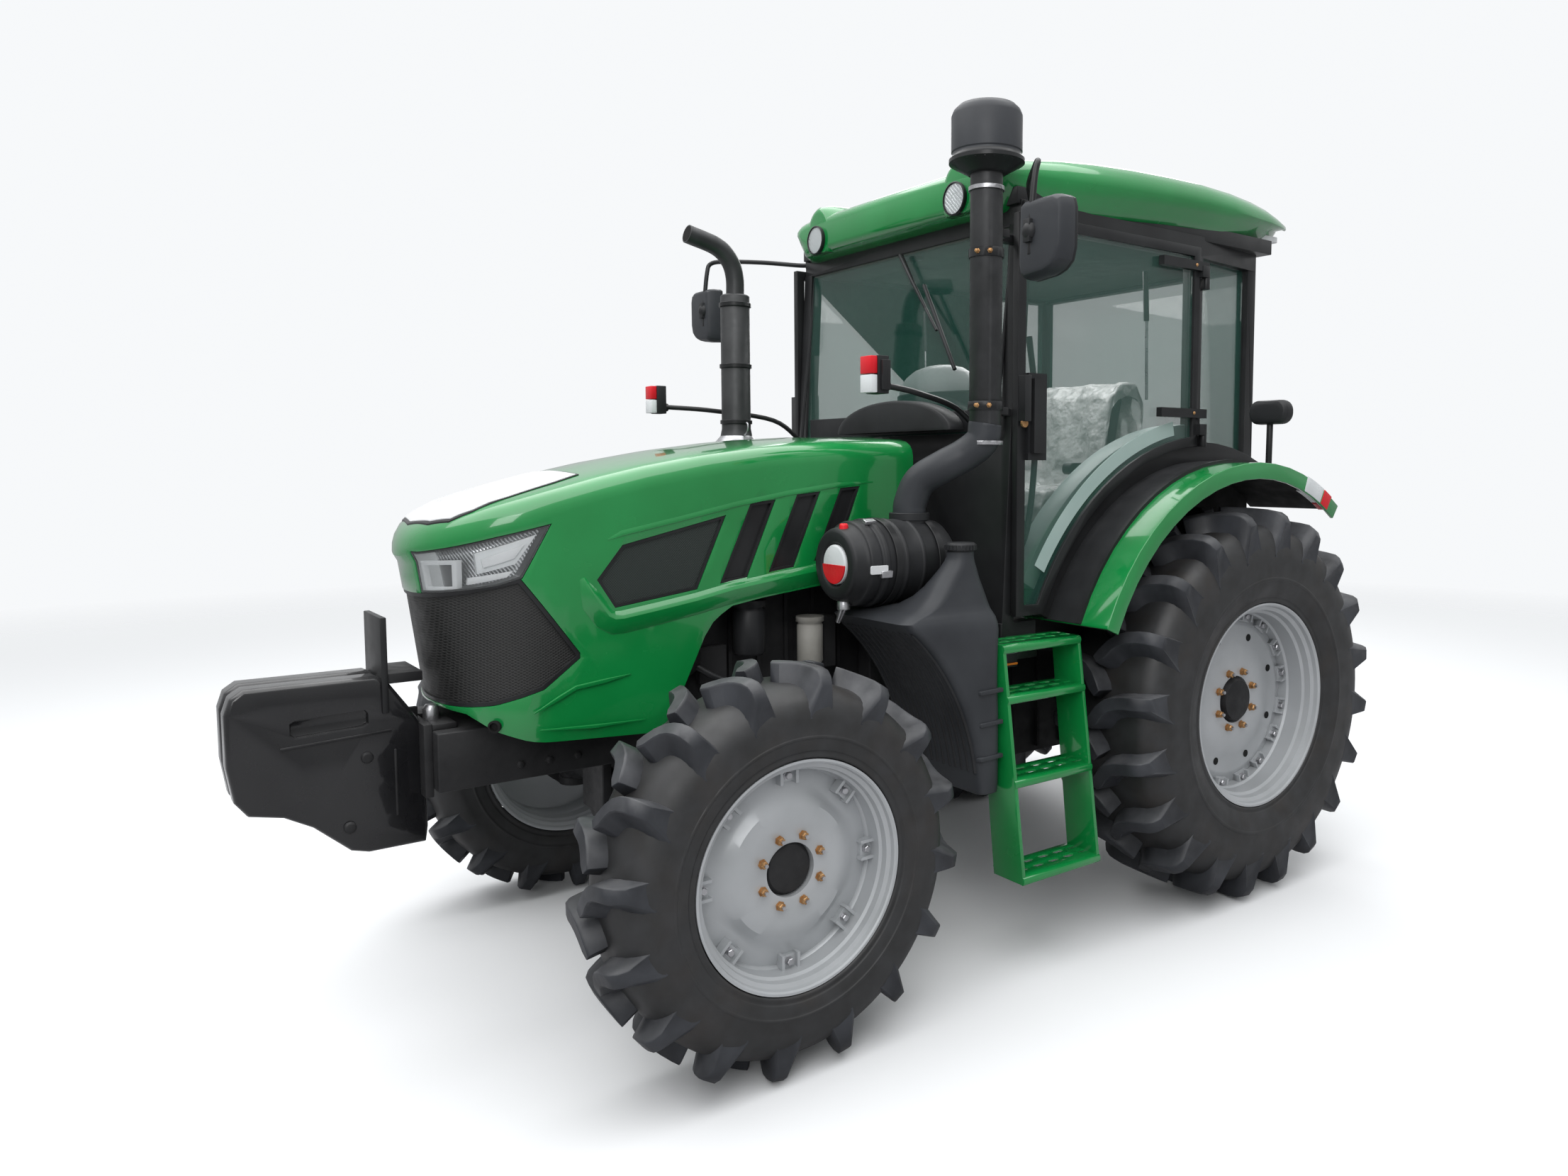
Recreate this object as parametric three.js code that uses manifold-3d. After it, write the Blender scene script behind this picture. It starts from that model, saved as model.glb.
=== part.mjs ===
// Farm tractor with four driven wheels and a glazed cab, as separate solids.
// Millimetres, +Z up. The nose points to -Y and the tractor's left is +X.
// Sizes are worked out with the rear axle at y = 0; the last lines move the
// whole tractor so that the origin lies under the middle of its outer box.

import * as THREE from "three";
import { mergeVertices } from "three/addons/utils/BufferGeometryUtils.js";
import Module from "manifold-3d";

const wasm = await Module();
wasm.setup();

// ---------------------------------------------------------------- sizes

const SEAT_GAP = 0.3; // between pieces that touch
const MOVE_GAP = 6; // beside a piece that swings
const ROUND_STEPS = 32; // facets round a wheel, with a flat one at the bottom

const WHEELBASE = 2156;

// Wheels: rolling radius, section width, and the rim inside it. The disc is set
// in from the outer flange, and the wheel's middle lies `track` from the centre.
const FRONT_WHEEL = {
  radius: 585, width: 315, rimRadius: 330, rimWidth: 288,
  discInset: 106, hubRadius: 76, track: 873, axleY: -WHEELBASE,
};
const REAR_WHEEL = {
  radius: 780, width: 467, rimRadius: 406, rimWidth: 406,
  discInset: 158, hubRadius: 92, track: 816, axleY: 0,
};
const RIM_LIP = 12;
const RIM_DROP = 25;
const RIM_WALL = 10;
const DISC_THICKNESS = 14;

// Front axle and steering.
const KINGPIN_X = 690;
const KINGPIN_RADIUS = 58;
const KINGPIN_HALF = 95;
const EAR_THICKNESS = 30;
const STEER_ARM = 220;
const TRACK_ROD_RADIUS = 16;
const AXLE_TUBE = 58;
const AXLE_PIVOT_HALF = 165;

// Chassis.
const RAIL_OUT = 200;
const RAIL_IN = 145;
const RAIL_LOW = 762;
const RAIL_HIGH = 940;
const RAIL_FRONT = -2900;
const HOUSING_FRONT = -1400;
const HOUSING_REAR = 250;
const HOUSING_HALF = 200;
const HOUSING_LOW = 500;
const HOUSING_HIGH = 1000;
const TRUMPET_RADIUS = 112;
const TRUMPET_END = 555;

// Engine.
const ENGINE_HALF = 220;
const ENGINE_FRONT = -2330;
const ENGINE_HIGH = 1450;

// Hood.
const HOOD_HALF = 380;
const HOOD_REAR = -1268;
const HOOD_WALL = 22;
const NOSE_FRONT = -2950;
const NOSE_SHOULDER = -2560; // where the sides start to round in
const HOOD_HINGE_Y = -1290;
const HOOD_HINGE_Z = 1735;
const HINGE_RADIUS = 14;
const HOOD_HINGE_X = 190;
const HINGE_LEAF = 34;

// Front ballast.
const WEIGHT_HALF_PITCH = 54;
const WEIGHT_THICKNESS = 88;
const WEIGHT_FRONT = -3420;
const WEIGHT_REAR = -3030;
const WEIGHT_LOW = 600;
const WEIGHT_HIGH = 1115;

// Cab.
const CAB_HALF = 695;
const CAB_FRONT = -1120;
const CAB_FRONT_TOP = -1035;
const CAB_REAR = 430;
const CAB_REAR_HALF = 640;
const FLOOR_LOW = 1030;
const FLOOR_HIGH = 1100;
const SILL_HIGH = 1165;
const DASH_HIGH = 1845; // lower edge of the windshield
const REAR_GLASS_LOW = 1780;
const HEADER_LOW = 2570;
const HEADER_HIGH = 2655;
const PILLAR = 56;
const B_PILLAR_Y = -40;
const PANEL = 20;
const GLASS = 6;

// Fenders round the rear wheels.
const FENDER_CLEAR = 160; // above the tyre
const FENDER_INNER = REAR_WHEEL.radius + FENDER_CLEAR;
const FENDER_SKIN = 20;
const FENDER_IN = 555;
const FENDER_OUT = 1060;
const FENDER_FRONT_Z = 1150;
const FENDER_REAR_ANGLE = 54;
const ARCH_RAIL = 85; // the cab's black rail on top of the fender
const ARCH_IN = 600;

// Doors.
const DOOR_GAP = MOVE_GAP;
const DOOR_THICKNESS = 28;
const DOOR_FRAME = 38;
const DOOR_TOP = HEADER_LOW + 30;
const DOOR_LOW = SILL_HIGH + 25;
const DOOR_FRONT = CAB_FRONT + 42;
const DOOR_REAR = B_PILLAR_Y - 30;
const DOOR_ARCH_CLEAR = 70; // room to swing over the fender
const DOOR_AXIS_X = CAB_HALF + 42;
const DOOR_AXIS_Y = B_PILLAR_Y - 5;
const DOOR_HINGES_Z = [1850, 2480];

// Roof.
const ROOF_HALF = CAB_HALF + 65;
const ROOF_FRONT = -1130;
const ROOF_REAR = 640;
const ROOF_LOW = HEADER_HIGH + SEAT_GAP;
const ROOF_HIGH = 2855;

// Tanks and steps.
const TANK_OUT = 860;
const TANK_IN = 420;
const TANK_REAR = CAB_FRONT - 140;
const TANK_LOW = 620;
const TANK_HIGH = 1235;
const TANK_WHEEL_GAP = 215;
const STEP_FRONT = CAB_FRONT - 130;
const STEP_REAR = CAB_FRONT + 248;
const STEP_TREADS = [1105, 935, 655, 335];
const STEP_TOP_X = [CAB_HALF + 10, CAB_HALF + 155];
const STEP_LOW_X = [CAB_HALF + 105, CAB_HALF + 265];
const STEP_PLATE = 14;
const TREAD_THICKNESS = 32;

// Air intake and exhaust. The air cleaner lies beside the hood and above the
// tank, whose filler neck stands outside it.
const CLEANER_RADIUS = 150;
const CLEANER_LENGTH = 435;
const CLEANER_ARM = 12;
const CLEANER = {
  x: HOOD_HALF + 21 + CLEANER_RADIUS, z: TANK_HIGH + 15 + CLEANER_RADIUS, radius: CLEANER_RADIUS,
  front: CAB_FRONT - 180 - CLEANER_LENGTH, rear: CAB_FRONT - 180,
};
const NECK_RADIUS = 46;
const TANK_NECK = {
  x: CLEANER.x + CLEANER_RADIUS + 25 + NECK_RADIUS, y: TANK_REAR - 116, radius: NECK_RADIUS, top: 1470,
};
const STACK = { x: CAB_HALF + 45, y: CAB_FRONT - 120, radius: 58, top: 2695 };
const PRE_CLEANER = { radius: 127, top: 2925 };
const EXHAUST = { x: -522, y: -1495, muffler: 112, sleeve: 60, pipe: 37 };
const EXHAUST_LOW = 1241;
const EXHAUST_CAP = 1835;
const SLEEVE_TOP = 2430;

// Mirrors, lamps and fender lamps.
const MIRROR = { x: CAB_HALF + 409, y: -1320, z: 2440, width: 210, depth: 80, height: 276 };
const MARKER = { x: 785, y: -1736, z: 2004, width: 80, depth: 70, height: 118 };
const WORK_LIGHT = { x: 455, z: 2686, radius: 58, depth: 62 };
const REAR_LAMP = { x: CAB_HALF + 155, y: 250, z: 1930, width: 190, depth: 70, height: 136 };

// Hitch.
const LINK = { frontX: 262, rearX: 430, frontY: 120, rearY: 985, frontZ: 520, rearZ: 430, eye: 44 };
const EYE_STEPS = 20;
const TOP_LINK_REAR = 930;

// ---------------------------------------------------------------- materials

const paint = (color, roughness, metalness) =>
  new THREE.MeshStandardMaterial({ color, roughness, metalness });
const GREEN = paint(0x1f6b45, 0.35, 0.1);
const BLACK = paint(0x1b1c1e, 0.6, 0.1);
const CAST = paint(0x2b2d30, 0.55, 0.4);
const SILVER = paint(0xa9adb0, 0.4, 0.6);
const RUBBER = paint(0x17181a, 0.9, 0);
const CLEAR = paint(0xc8dcd6, 0.05, 0);
const LAMP = paint(0xe8ecee, 0.15, 0);
const CLOTH = paint(0x3b3d40, 0.9, 0);

// ---------------------------------------------------------------- solids

const cosine = (degrees) => Math.cos(THREE.MathUtils.degToRad(degrees));

// A closed three.js geometry as a solid, turned right way out if it isn't.
function solid(geometry) {
  geometry.deleteAttribute("normal");
  geometry.deleteAttribute("uv");
  const merged = mergeVertices(geometry, 1e-3);
  const points = new Float32Array(merged.attributes.position.array);
  const corner = (i) => new THREE.Vector3(points[3 * i], points[3 * i + 1], points[3 * i + 2]);
  const index = merged.index.array;
  const faces = [];
  let volume = 0;
  for (let i = 0; i < index.length; i += 3) {
    const [a, b, c] = [index[i], index[i + 1], index[i + 2]];
    if (a === b || b === c || c === a) continue;
    faces.push(a, b, c);
    volume += corner(a).dot(corner(b).cross(corner(c)));
  }
  if (volume < 0) faces.reverse();
  return fromArrays(points, new Uint32Array(faces));
}

function fromArrays(vertProperties, triVerts) {
  return new wasm.Manifold(new wasm.Mesh({ numProp: 3, vertProperties, triVerts }));
}

// The same solid on the tractor's left (side 1) or right (side -1).
function onSide(side, body) {
  if (side > 0) return body;
  const { vertProperties, triVerts } = body.getMesh();
  const points = vertProperties.map((value, i) => (i % 3 === 0 ? -value : value));
  return fromArrays(points, new Uint32Array(triVerts).reverse());
}

const join = (first, ...rest) => rest.reduce((body, other) => body.add(other), first);
const cut = (first, ...rest) => rest.reduce((body, other) => body.subtract(other), first);

function box([x0, x1], [y0, y1], [z0, z1]) {
  const geometry = new THREE.BoxGeometry(x1 - x0, y1 - y0, z1 - z0);
  geometry.translate((x0 + x1) / 2, (y0 + y1) / 2, (z0 + z1) / 2);
  return solid(geometry);
}

const outline = (points) => new THREE.Shape(points.map(([u, v]) => new THREE.Vector2(u, v)));

function extruded(shape, depth) {
  return new THREE.ExtrudeGeometry(shape, { depth, bevelEnabled: false, curveSegments: 10 });
}

// An outline of (y, z) points, carried across from x0 to x1.
function acrossX(shape, [x0, x1]) {
  const geometry = extruded(shape, x1 - x0);
  const turn = new THREE.Matrix4().set(0, 0, 1, x0, 1, 0, 0, 0, 0, 1, 0, 0, 0, 0, 0, 1);
  return solid(geometry.applyMatrix4(turn));
}

// An outline of (x, z) points, carried from y0 to y1.
function alongY(shape, [y0, y1]) {
  const geometry = extruded(shape, y1 - y0).rotateX(Math.PI / 2);
  return solid(geometry.translate(0, y1, 0));
}

// An outline of (x, y) points, carried from z0 up to z1.
function upZ(shape, [z0, z1]) {
  return solid(extruded(shape, z1 - z0).translate(0, 0, z0));
}

// A turned shape: profile points are (radius, place along the axis). It is drawn
// round the outside of its circles, with flats that face along the axes, so
// that a piece which rests on it lies exactly one radius from its middle.
function turned(profile, axis, [x, y, z], steps = 16) {
  const outside = 1 / cosine(180 / steps);
  const points = profile.map(([radius, along]) => new THREE.Vector2(radius * outside, along));
  const geometry = new THREE.LatheGeometry(points, steps, Math.PI / steps);
  if (axis === "x") geometry.rotateZ(-Math.PI / 2);
  if (axis === "z") geometry.rotateX(Math.PI / 2);
  return solid(geometry.translate(x, y, z));
}

// A plain round bar along an axis, from place a to b.
function bar(radius, axis, [a, b], [x, y, z], steps = 16) {
  return turned([[0, a], [radius, a], [radius, b], [0, b]], axis, [x, y, z], steps);
}

// A round tube bent along a smooth line through the points.
function bent(points, radius, steps, sides = 10) {
  const path = new THREE.CatmullRomCurve3(points.map((p) => new THREE.Vector3(...p)), false, "centripetal");
  const section = new THREE.Shape();
  section.absarc(0, 0, radius, 0, 2 * Math.PI, false);
  const options = { steps, extrudePath: path, bevelEnabled: false, curveSegments: sides };
  return solid(new THREE.ExtrudeGeometry(section, options));
}

// A straight round bar between two points.
function rod(from, to, radius, sides = 12) {
  const a = new THREE.Vector3(...from);
  const b = new THREE.Vector3(...to);
  const geometry = new THREE.CylinderGeometry(radius, radius, a.distanceTo(b), sides);
  const up = new THREE.Vector3(0, 1, 0);
  geometry.applyQuaternion(new THREE.Quaternion().setFromUnitVectors(up, b.clone().sub(a).normalize()));
  const middle = a.add(b).multiplyScalar(0.5);
  return solid(geometry.translate(middle.x, middle.y, middle.z));
}

// Circles about the rear axle are drawn with a corner every ARCH_STEP degrees,
// so that rings which lie on each other share their flats. Angles run from
// straight back, over the top, to the front.
const ARCH_STEP = 6;

function archPoint(radius, angle) {
  const half = ARCH_STEP / 2;
  const fromMiddle = angle - ARCH_STEP * Math.floor(angle / ARCH_STEP) - half;
  const reach = (radius * cosine(half)) / cosine(fromMiddle);
  return [reach * cosine(angle), REAR_WHEEL.radius + reach * Math.sin(THREE.MathUtils.degToRad(angle))];
}

function archArc(radius, from, to) {
  const angles = [from];
  for (let angle = ARCH_STEP * Math.ceil(from / ARCH_STEP + 0.01); angle < to - 0.01; angle += ARCH_STEP) {
    angles.push(angle);
  }
  return [...angles, to].map((angle) => archPoint(radius, angle));
}

// The ring sector between two radii, as (y, z) points.
function archShape(inner, outer, from, to) {
  return outline([...archArc(outer, from, to), ...archArc(inner, from, to).reverse()]);
}

// The height of such a ring above the ground, at place y.
function archTop(radius, y) {
  const angle = THREE.MathUtils.radToDeg(Math.acos(y / radius));
  const middle = ARCH_STEP * Math.floor(angle / ARCH_STEP) + ARCH_STEP / 2;
  const up = Math.sin(THREE.MathUtils.degToRad(middle));
  return REAR_WHEEL.radius + (radius * cosine(ARCH_STEP / 2) - y * cosine(middle)) / up;
}

// How far forward a circle about the rear axle reaches at height z.
const archY = (radius, z) => -Math.sqrt(radius ** 2 - (z - REAR_WHEEL.radius) ** 2);

// ---------------------------------------------------------------- the group

const tractor = new THREE.Group();

function add(name, body, material) {
  const { vertProperties, triVerts } = body.getMesh();
  const geometry = new THREE.BufferGeometry();
  geometry.setAttribute("position", new THREE.BufferAttribute(new Float32Array(vertProperties), 3));
  geometry.setIndex(new THREE.BufferAttribute(new Uint32Array(triVerts), 1));
  geometry.computeVertexNormals();
  const mesh = new THREE.Mesh(geometry, material);
  mesh.name = name;
  tractor.add(mesh);
}

const SIDES = [["left", 1], ["right", -1]];

// ---------------------------------------------------------------- wheels

function tyreBody({ radius, width, rimRadius, rimWidth }) {
  const bead = rimRadius + SEAT_GAP;
  const wall = radius - rimRadius;
  const half = [
    [bead, rimWidth / 2 - 4],
    [rimRadius + 0.3 * wall, width / 2],
    [rimRadius + 0.6 * wall, width / 2],
    [radius - 22, width / 2 - 14],
    [radius, width / 2 - 50],
  ];
  return [...half, ...half.map(([r, x]) => [r, -x]).reverse(), half[0]];
}

function rimBody({ rimRadius, rimWidth, discInset, hubRadius, track }, hubSeat) {
  const flange = rimWidth / 2;
  const seat = rimRadius - RIM_DROP;
  const well = seat - RIM_WALL;
  const disc = flange - discInset;
  return [
    [0, disc + 20], [hubRadius, disc + 20], [hubRadius, disc], [well, disc],
    [well, flange - RIM_DROP], [rimRadius - RIM_WALL, flange], [rimRadius, flange],
    [rimRadius, flange - RIM_LIP], [seat, flange - RIM_DROP],
    [seat, RIM_DROP - flange], [rimRadius, RIM_LIP - flange], [rimRadius, -flange],
    [rimRadius - RIM_WALL, -flange], [well, RIM_DROP - flange],
    [well, disc - DISC_THICKNESS], [hubRadius, disc - DISC_THICKNESS],
    [hubRadius, hubSeat - track + SEAT_GAP], [0, hubSeat - track + SEAT_GAP],
  ];
}

const FRONT_HUB_SEAT = 850; // where the knuckle's stub ends
const REAR_HUB_SEAT = TRUMPET_END; // where the axle housing ends

function addWheels(end, wheel, hubSeat) {
  const centre = [wheel.track, wheel.axleY, wheel.radius];
  for (const [name, side] of SIDES) {
    const tyre = turned(tyreBody(wheel), "x", centre, ROUND_STEPS);
    add(`tyre_${end}_${name}`, onSide(side, tyre), RUBBER);
    const rim = turned(rimBody(wheel, hubSeat), "x", centre, ROUND_STEPS);
    add(`rim_${end}_${name}`, onSide(side, rim), SILVER);
  }
}

addWheels("front", FRONT_WHEEL, FRONT_HUB_SEAT);
addWheels("rear", REAR_WHEEL, REAR_HUB_SEAT);

// ---------------------------------------------------------------- front axle

const AXLE_Y = FRONT_WHEEL.axleY;
const AXLE_Z = FRONT_WHEEL.radius;

function frontAxle() {
  const tube = bar(AXLE_TUBE, "x", [-KINGPIN_X, KINGPIN_X], [0, AXLE_Y, AXLE_Z]);
  const differential = bar(140, "x", [-110, 110], [0, AXLE_Y, AXLE_Z]);
  const pivot = bar(60, "y", [-AXLE_PIVOT_HALF, AXLE_PIVOT_HALF], [0, AXLE_Y, AXLE_Z]);
  const ends = [-1, 1].map((side) =>
    bar(KINGPIN_RADIUS, "z", [-KINGPIN_HALF, KINGPIN_HALF], [side * KINGPIN_X, AXLE_Y, AXLE_Z]));
  return join(tube, differential, pivot, ...ends);
}
add("front_axle", frontAxle(), CAST);

// The knuckle: two ears above and below the kingpin boss, a web outside them,
// the wheel's stub, and the steering arm with its upright pin.
const EAR_IN = KINGPIN_HALF + SEAT_GAP;
const EAR_OUT = EAR_IN + EAR_THICKNESS;
const WEB_IN = KINGPIN_X + KINGPIN_RADIUS + 14;
const WEB_OUT = WEB_IN + 28;
const ROD_PIN_RADIUS = 12;
const ROD_EYE_RADIUS = 32;
const ROD_HALF_HEIGHT = 20;
const ROD_Z = AXLE_Z - EAR_IN + SEAT_GAP + ROD_HALF_HEIGHT;

function knuckle() {
  const ear = (low, high) => join(
    bar(KINGPIN_RADIUS, "z", [low, high], [KINGPIN_X, AXLE_Y, AXLE_Z]),
    box([KINGPIN_X, WEB_OUT], [AXLE_Y - 55, AXLE_Y + 55], [AXLE_Z + low, AXLE_Z + high]),
  );
  const web = box([WEB_IN, WEB_OUT], [AXLE_Y - 55, AXLE_Y + 55], [AXLE_Z - EAR_OUT, AXLE_Z + EAR_OUT]);
  const stub = bar(75, "x", [WEB_IN, FRONT_HUB_SEAT], [0, AXLE_Y, AXLE_Z]);
  const armZ = [AXLE_Z - EAR_OUT, AXLE_Z - EAR_IN];
  const arm = box([KINGPIN_X - 28, KINGPIN_X + 28], [AXLE_Y, AXLE_Y + STEER_ARM], armZ);
  const armEnd = bar(ROD_EYE_RADIUS, "z", armZ, [KINGPIN_X, AXLE_Y + STEER_ARM, 0]);
  const pin = bar(ROD_PIN_RADIUS, "z", [armZ[0], ROD_Z + ROD_HALF_HEIGHT + 8],
    [KINGPIN_X, AXLE_Y + STEER_ARM, 0]);
  return join(ear(EAR_IN, EAR_OUT), ear(-EAR_OUT, -EAR_IN), web, stub, arm, armEnd, pin);
}

function trackRod() {
  const y = AXLE_Y + STEER_ARM;
  const height = [ROD_Z - ROD_HALF_HEIGHT, ROD_Z + ROD_HALF_HEIGHT];
  const eyes = [-KINGPIN_X, KINGPIN_X].map((x) => bar(ROD_EYE_RADIUS, "z", height, [x, y, 0]));
  const holes = [-KINGPIN_X, KINGPIN_X].map((x) =>
    bar(ROD_PIN_RADIUS + 1, "z", [height[0] - 1, height[1] + 1], [x, y, 0]));
  const tube = bar(TRACK_ROD_RADIUS, "x", [-KINGPIN_X, KINGPIN_X], [0, y, ROD_Z]);
  return cut(join(tube, ...eyes), ...holes);
}

for (const [name, side] of SIDES) add(`knuckle_${name}`, onSide(side, knuckle()), CAST);
add("track_rod", trackRod(), CAST);

// ---------------------------------------------------------------- chassis

function frontFrame() {
  const height = [RAIL_LOW, RAIL_HIGH];
  const rails = [[-RAIL_OUT, -RAIL_IN], [RAIL_IN, RAIL_OUT]].map((x) =>
    box(x, [RAIL_FRONT, HOUSING_FRONT - SEAT_GAP], height));
  const nose = box([-RAIL_OUT, RAIL_OUT], [RAIL_FRONT, RAIL_FRONT + 330], height);
  const ears = [-1, 1].map((end) => {
    const near = AXLE_Y + end * (AXLE_PIVOT_HALF + SEAT_GAP);
    const far = near + end * 34;
    const y = [Math.min(near, far), Math.max(near, far)];
    return join(
      box([-90, 90], y, [AXLE_Z - 30, RAIL_HIGH]),
      box([-RAIL_OUT, RAIL_OUT], y, [RAIL_LOW, RAIL_LOW + 60]),
    );
  });
  return join(nose, ...rails, ...ears);
}
add("front_frame", frontFrame(), CAST);

function engineBlock() {
  const y = [ENGINE_FRONT, HOUSING_FRONT - SEAT_GAP];
  const inner = RAIL_IN - SEAT_GAP;
  const crankcase = box([-inner, inner], [AXLE_Y + 260, y[1]], [RAIL_LOW - 60, RAIL_HIGH + 2]);
  const block = box([-ENGINE_HALF, ENGINE_HALF], y, [RAIL_HIGH + SEAT_GAP, ENGINE_HIGH]);
  return join(crankcase, block);
}
add("engine_block", engineBlock(), CAST);

const CLEANER_ARM_HIGH = CLEANER.z - CLEANER.radius - SEAT_GAP;

function gearboxHousing() {
  const centre = [0, 0, REAR_WHEEL.radius];
  const body = box([-HOUSING_HALF, HOUSING_HALF], [HOUSING_FRONT, HOUSING_REAR], [HOUSING_LOW, HOUSING_HIGH]);
  const trumpets = bar(TRUMPET_RADIUS, "x", [-TRUMPET_END, TRUMPET_END], centre);
  const arms = box([SEAT_GAP - TANK_IN, TANK_IN - SEAT_GAP],
    [TANK_REAR - 100, TANK_REAR - 20], [TANK_LOW + 100, TANK_LOW + 180]);
  const post = box([HOUSING_HALF - 20, HOUSING_HALF + 90], [HOUSING_FRONT, HOUSING_FRONT + 60],
    [HOUSING_HIGH - 100, CLEANER_ARM_HIGH]);
  const cleanerArm = box([HOUSING_HALF, CLEANER.x + 20], [HOUSING_FRONT, HOUSING_FRONT + 60],
    [CLEANER_ARM_HIGH - CLEANER_ARM, CLEANER_ARM_HIGH]);
  const mounts = box([-150, 150], [-1000, -900], [HOUSING_HIGH, FLOOR_LOW - SEAT_GAP]);
  const rearMounts = box([-150, 150], [50, 150], [HOUSING_HIGH, FLOOR_LOW - SEAT_GAP]);
  return join(body, trumpets, arms, post, cleanerArm, mounts, rearMounts);
}
add("gearbox_housing", gearboxHousing(), CAST);

// ---------------------------------------------------------------- ballast

const CARRIER_REAR = RAIL_FRONT - SEAT_GAP;
const CARRIER_HIGH = RAIL_HIGH + 60;

function weight() {
  const x = [WEIGHT_HALF_PITCH - WEIGHT_THICKNESS / 2, WEIGHT_HALF_PITCH + WEIGHT_THICKNESS / 2];
  const shape = outline([
    [WEIGHT_REAR, WEIGHT_HIGH], [WEIGHT_FRONT + 40, WEIGHT_HIGH], [WEIGHT_FRONT, WEIGHT_HIGH - 40],
    [WEIGHT_FRONT, WEIGHT_LOW + 150], [WEIGHT_FRONT + 60, WEIGHT_LOW + 90], [WEIGHT_REAR - 50, WEIGHT_LOW],
    [WEIGHT_REAR, WEIGHT_LOW],
  ]);
  return acrossX(shape, x);
}

function weightCarrier() {
  const half = WEIGHT_HALF_PITCH + WEIGHT_THICKNESS / 2 + 10;
  const block = box([-half, half], [WEIGHT_REAR + SEAT_GAP, CARRIER_REAR], [RAIL_LOW, CARRIER_HIGH]);
  const plate = box([-half, half], [WEIGHT_REAR + SEAT_GAP, WEIGHT_REAR + 25], [RAIL_LOW, WEIGHT_HIGH + 170]);
  return join(block, plate);
}

for (const [name, side] of SIDES) add(`ballast_weight_${name}`, onSide(side, weight()), CAST);
add("weight_carrier", weightCarrier(), CAST);

// ---------------------------------------------------------------- hood

// The side view of the hood, `inset` inside its outer skin.
function hoodSide(inset, low) {
  const skirt = low === undefined
    ? [[-2700, 920], [-2250, 905], [-2050, 1250], [-1650, 1316], [HOOD_REAR, 1330]]
    : [[NOSE_FRONT + inset + 60, low], [HOOD_REAR + 50, low]];
  return outline([
    [low === undefined ? HOOD_REAR : HOOD_REAR + 50, 1838 - inset], [-1850, 1822 - inset],
    [-2300, 1745 - inset], [-2600, 1660 - inset], [NOSE_FRONT + 40 + inset, 1556 - inset],
    [NOSE_FRONT + inset, 1515 - inset], [NOSE_FRONT + 30 + inset, 1350],
    [NOSE_FRONT + 80 + inset, 1000], ...skirt,
  ]);
}

// The hood from above: straight sides and a rounded nose.
function hoodPlan(inset) {
  const half = HOOD_HALF - inset;
  const depth = NOSE_SHOULDER - NOSE_FRONT - inset;
  const steps = 12;
  const nose = Array.from({ length: steps + 1 }, (_, i) => {
    const angle = (Math.PI * i) / steps;
    const bulge = Math.sin(angle) ** 0.8;
    return [half * Math.cos(angle), NOSE_SHOULDER - depth * bulge];
  });
  return outline([...nose, [-half, HOOD_REAR + 60], [half, HOOD_REAR + 60]]);
}

// The hood across: the top corners are rounded off.
function hoodAcross(inset) {
  const half = HOOD_HALF - inset;
  const top = 1845 - inset;
  return outline([
    [-half, 400], [half, 400], [half, top - 110], [half - 30, top - 45], [half - 90, top - 12],
    [half - 180, top], [180 - half, top], [90 - half, top - 12], [30 - half, top - 45], [-half, top - 110],
  ]);
}

function hoodVolume(inset, low) {
  const across = [-HOOD_HALF - 10, HOOD_HALF + 10];
  return acrossX(hoodSide(inset, low), across)
    .intersect(upZ(hoodPlan(inset), [400, 1900]))
    .intersect(alongY(hoodAcross(inset), [NOSE_FRONT - 50, HOOD_REAR + 100]));
}

// Moves every edge of a (y, z) outline inwards by `gap`.
function shrunk(points, gap) {
  const area = points.reduce((sum, [a, b], i) => {
    const [c, d] = points[(i + 1) % points.length];
    return sum + a * d - b * c;
  }, 0);
  const turn = Math.sign(area);
  return points.map((point, i) => {
    const p = new THREE.Vector2(...point);
    const before = new THREE.Vector2(...points.at(i - 1)).sub(p).normalize();
    const after = new THREE.Vector2(...points[(i + 1) % points.length]).sub(p).normalize();
    const n1 = new THREE.Vector2(before.y, -before.x).multiplyScalar(turn);
    const n2 = new THREE.Vector2(-after.y, after.x).multiplyScalar(turn);
    const scale = gap / (1 + n1.dot(n2));
    return [p.x + (n1.x + n2.x) * scale, p.y + (n1.y + n2.y) * scale];
  });
}

const GRILLE_ZONE = [[-3100, 1330], [-2920, 1340], [-2700, 1395], [-2540, 1170], [-2740, 1040], [-2870, 985], [-3100, 965]];
const LIGHT_ZONE = [[-3100, 1460], [-2920, 1462], [-2600, 1552], [-2700, 1400], [-2920, 1345], [-3100, 1335]];
const LIGHT_IN = 108;

const zone = (points, x) => acrossX(outline(points), x);
const hoodSkin = hoodVolume(0).subtract(hoodVolume(HOOD_WALL, 500));
const wideX = [-HOOD_HALF - 5, HOOD_HALF + 5];

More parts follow.
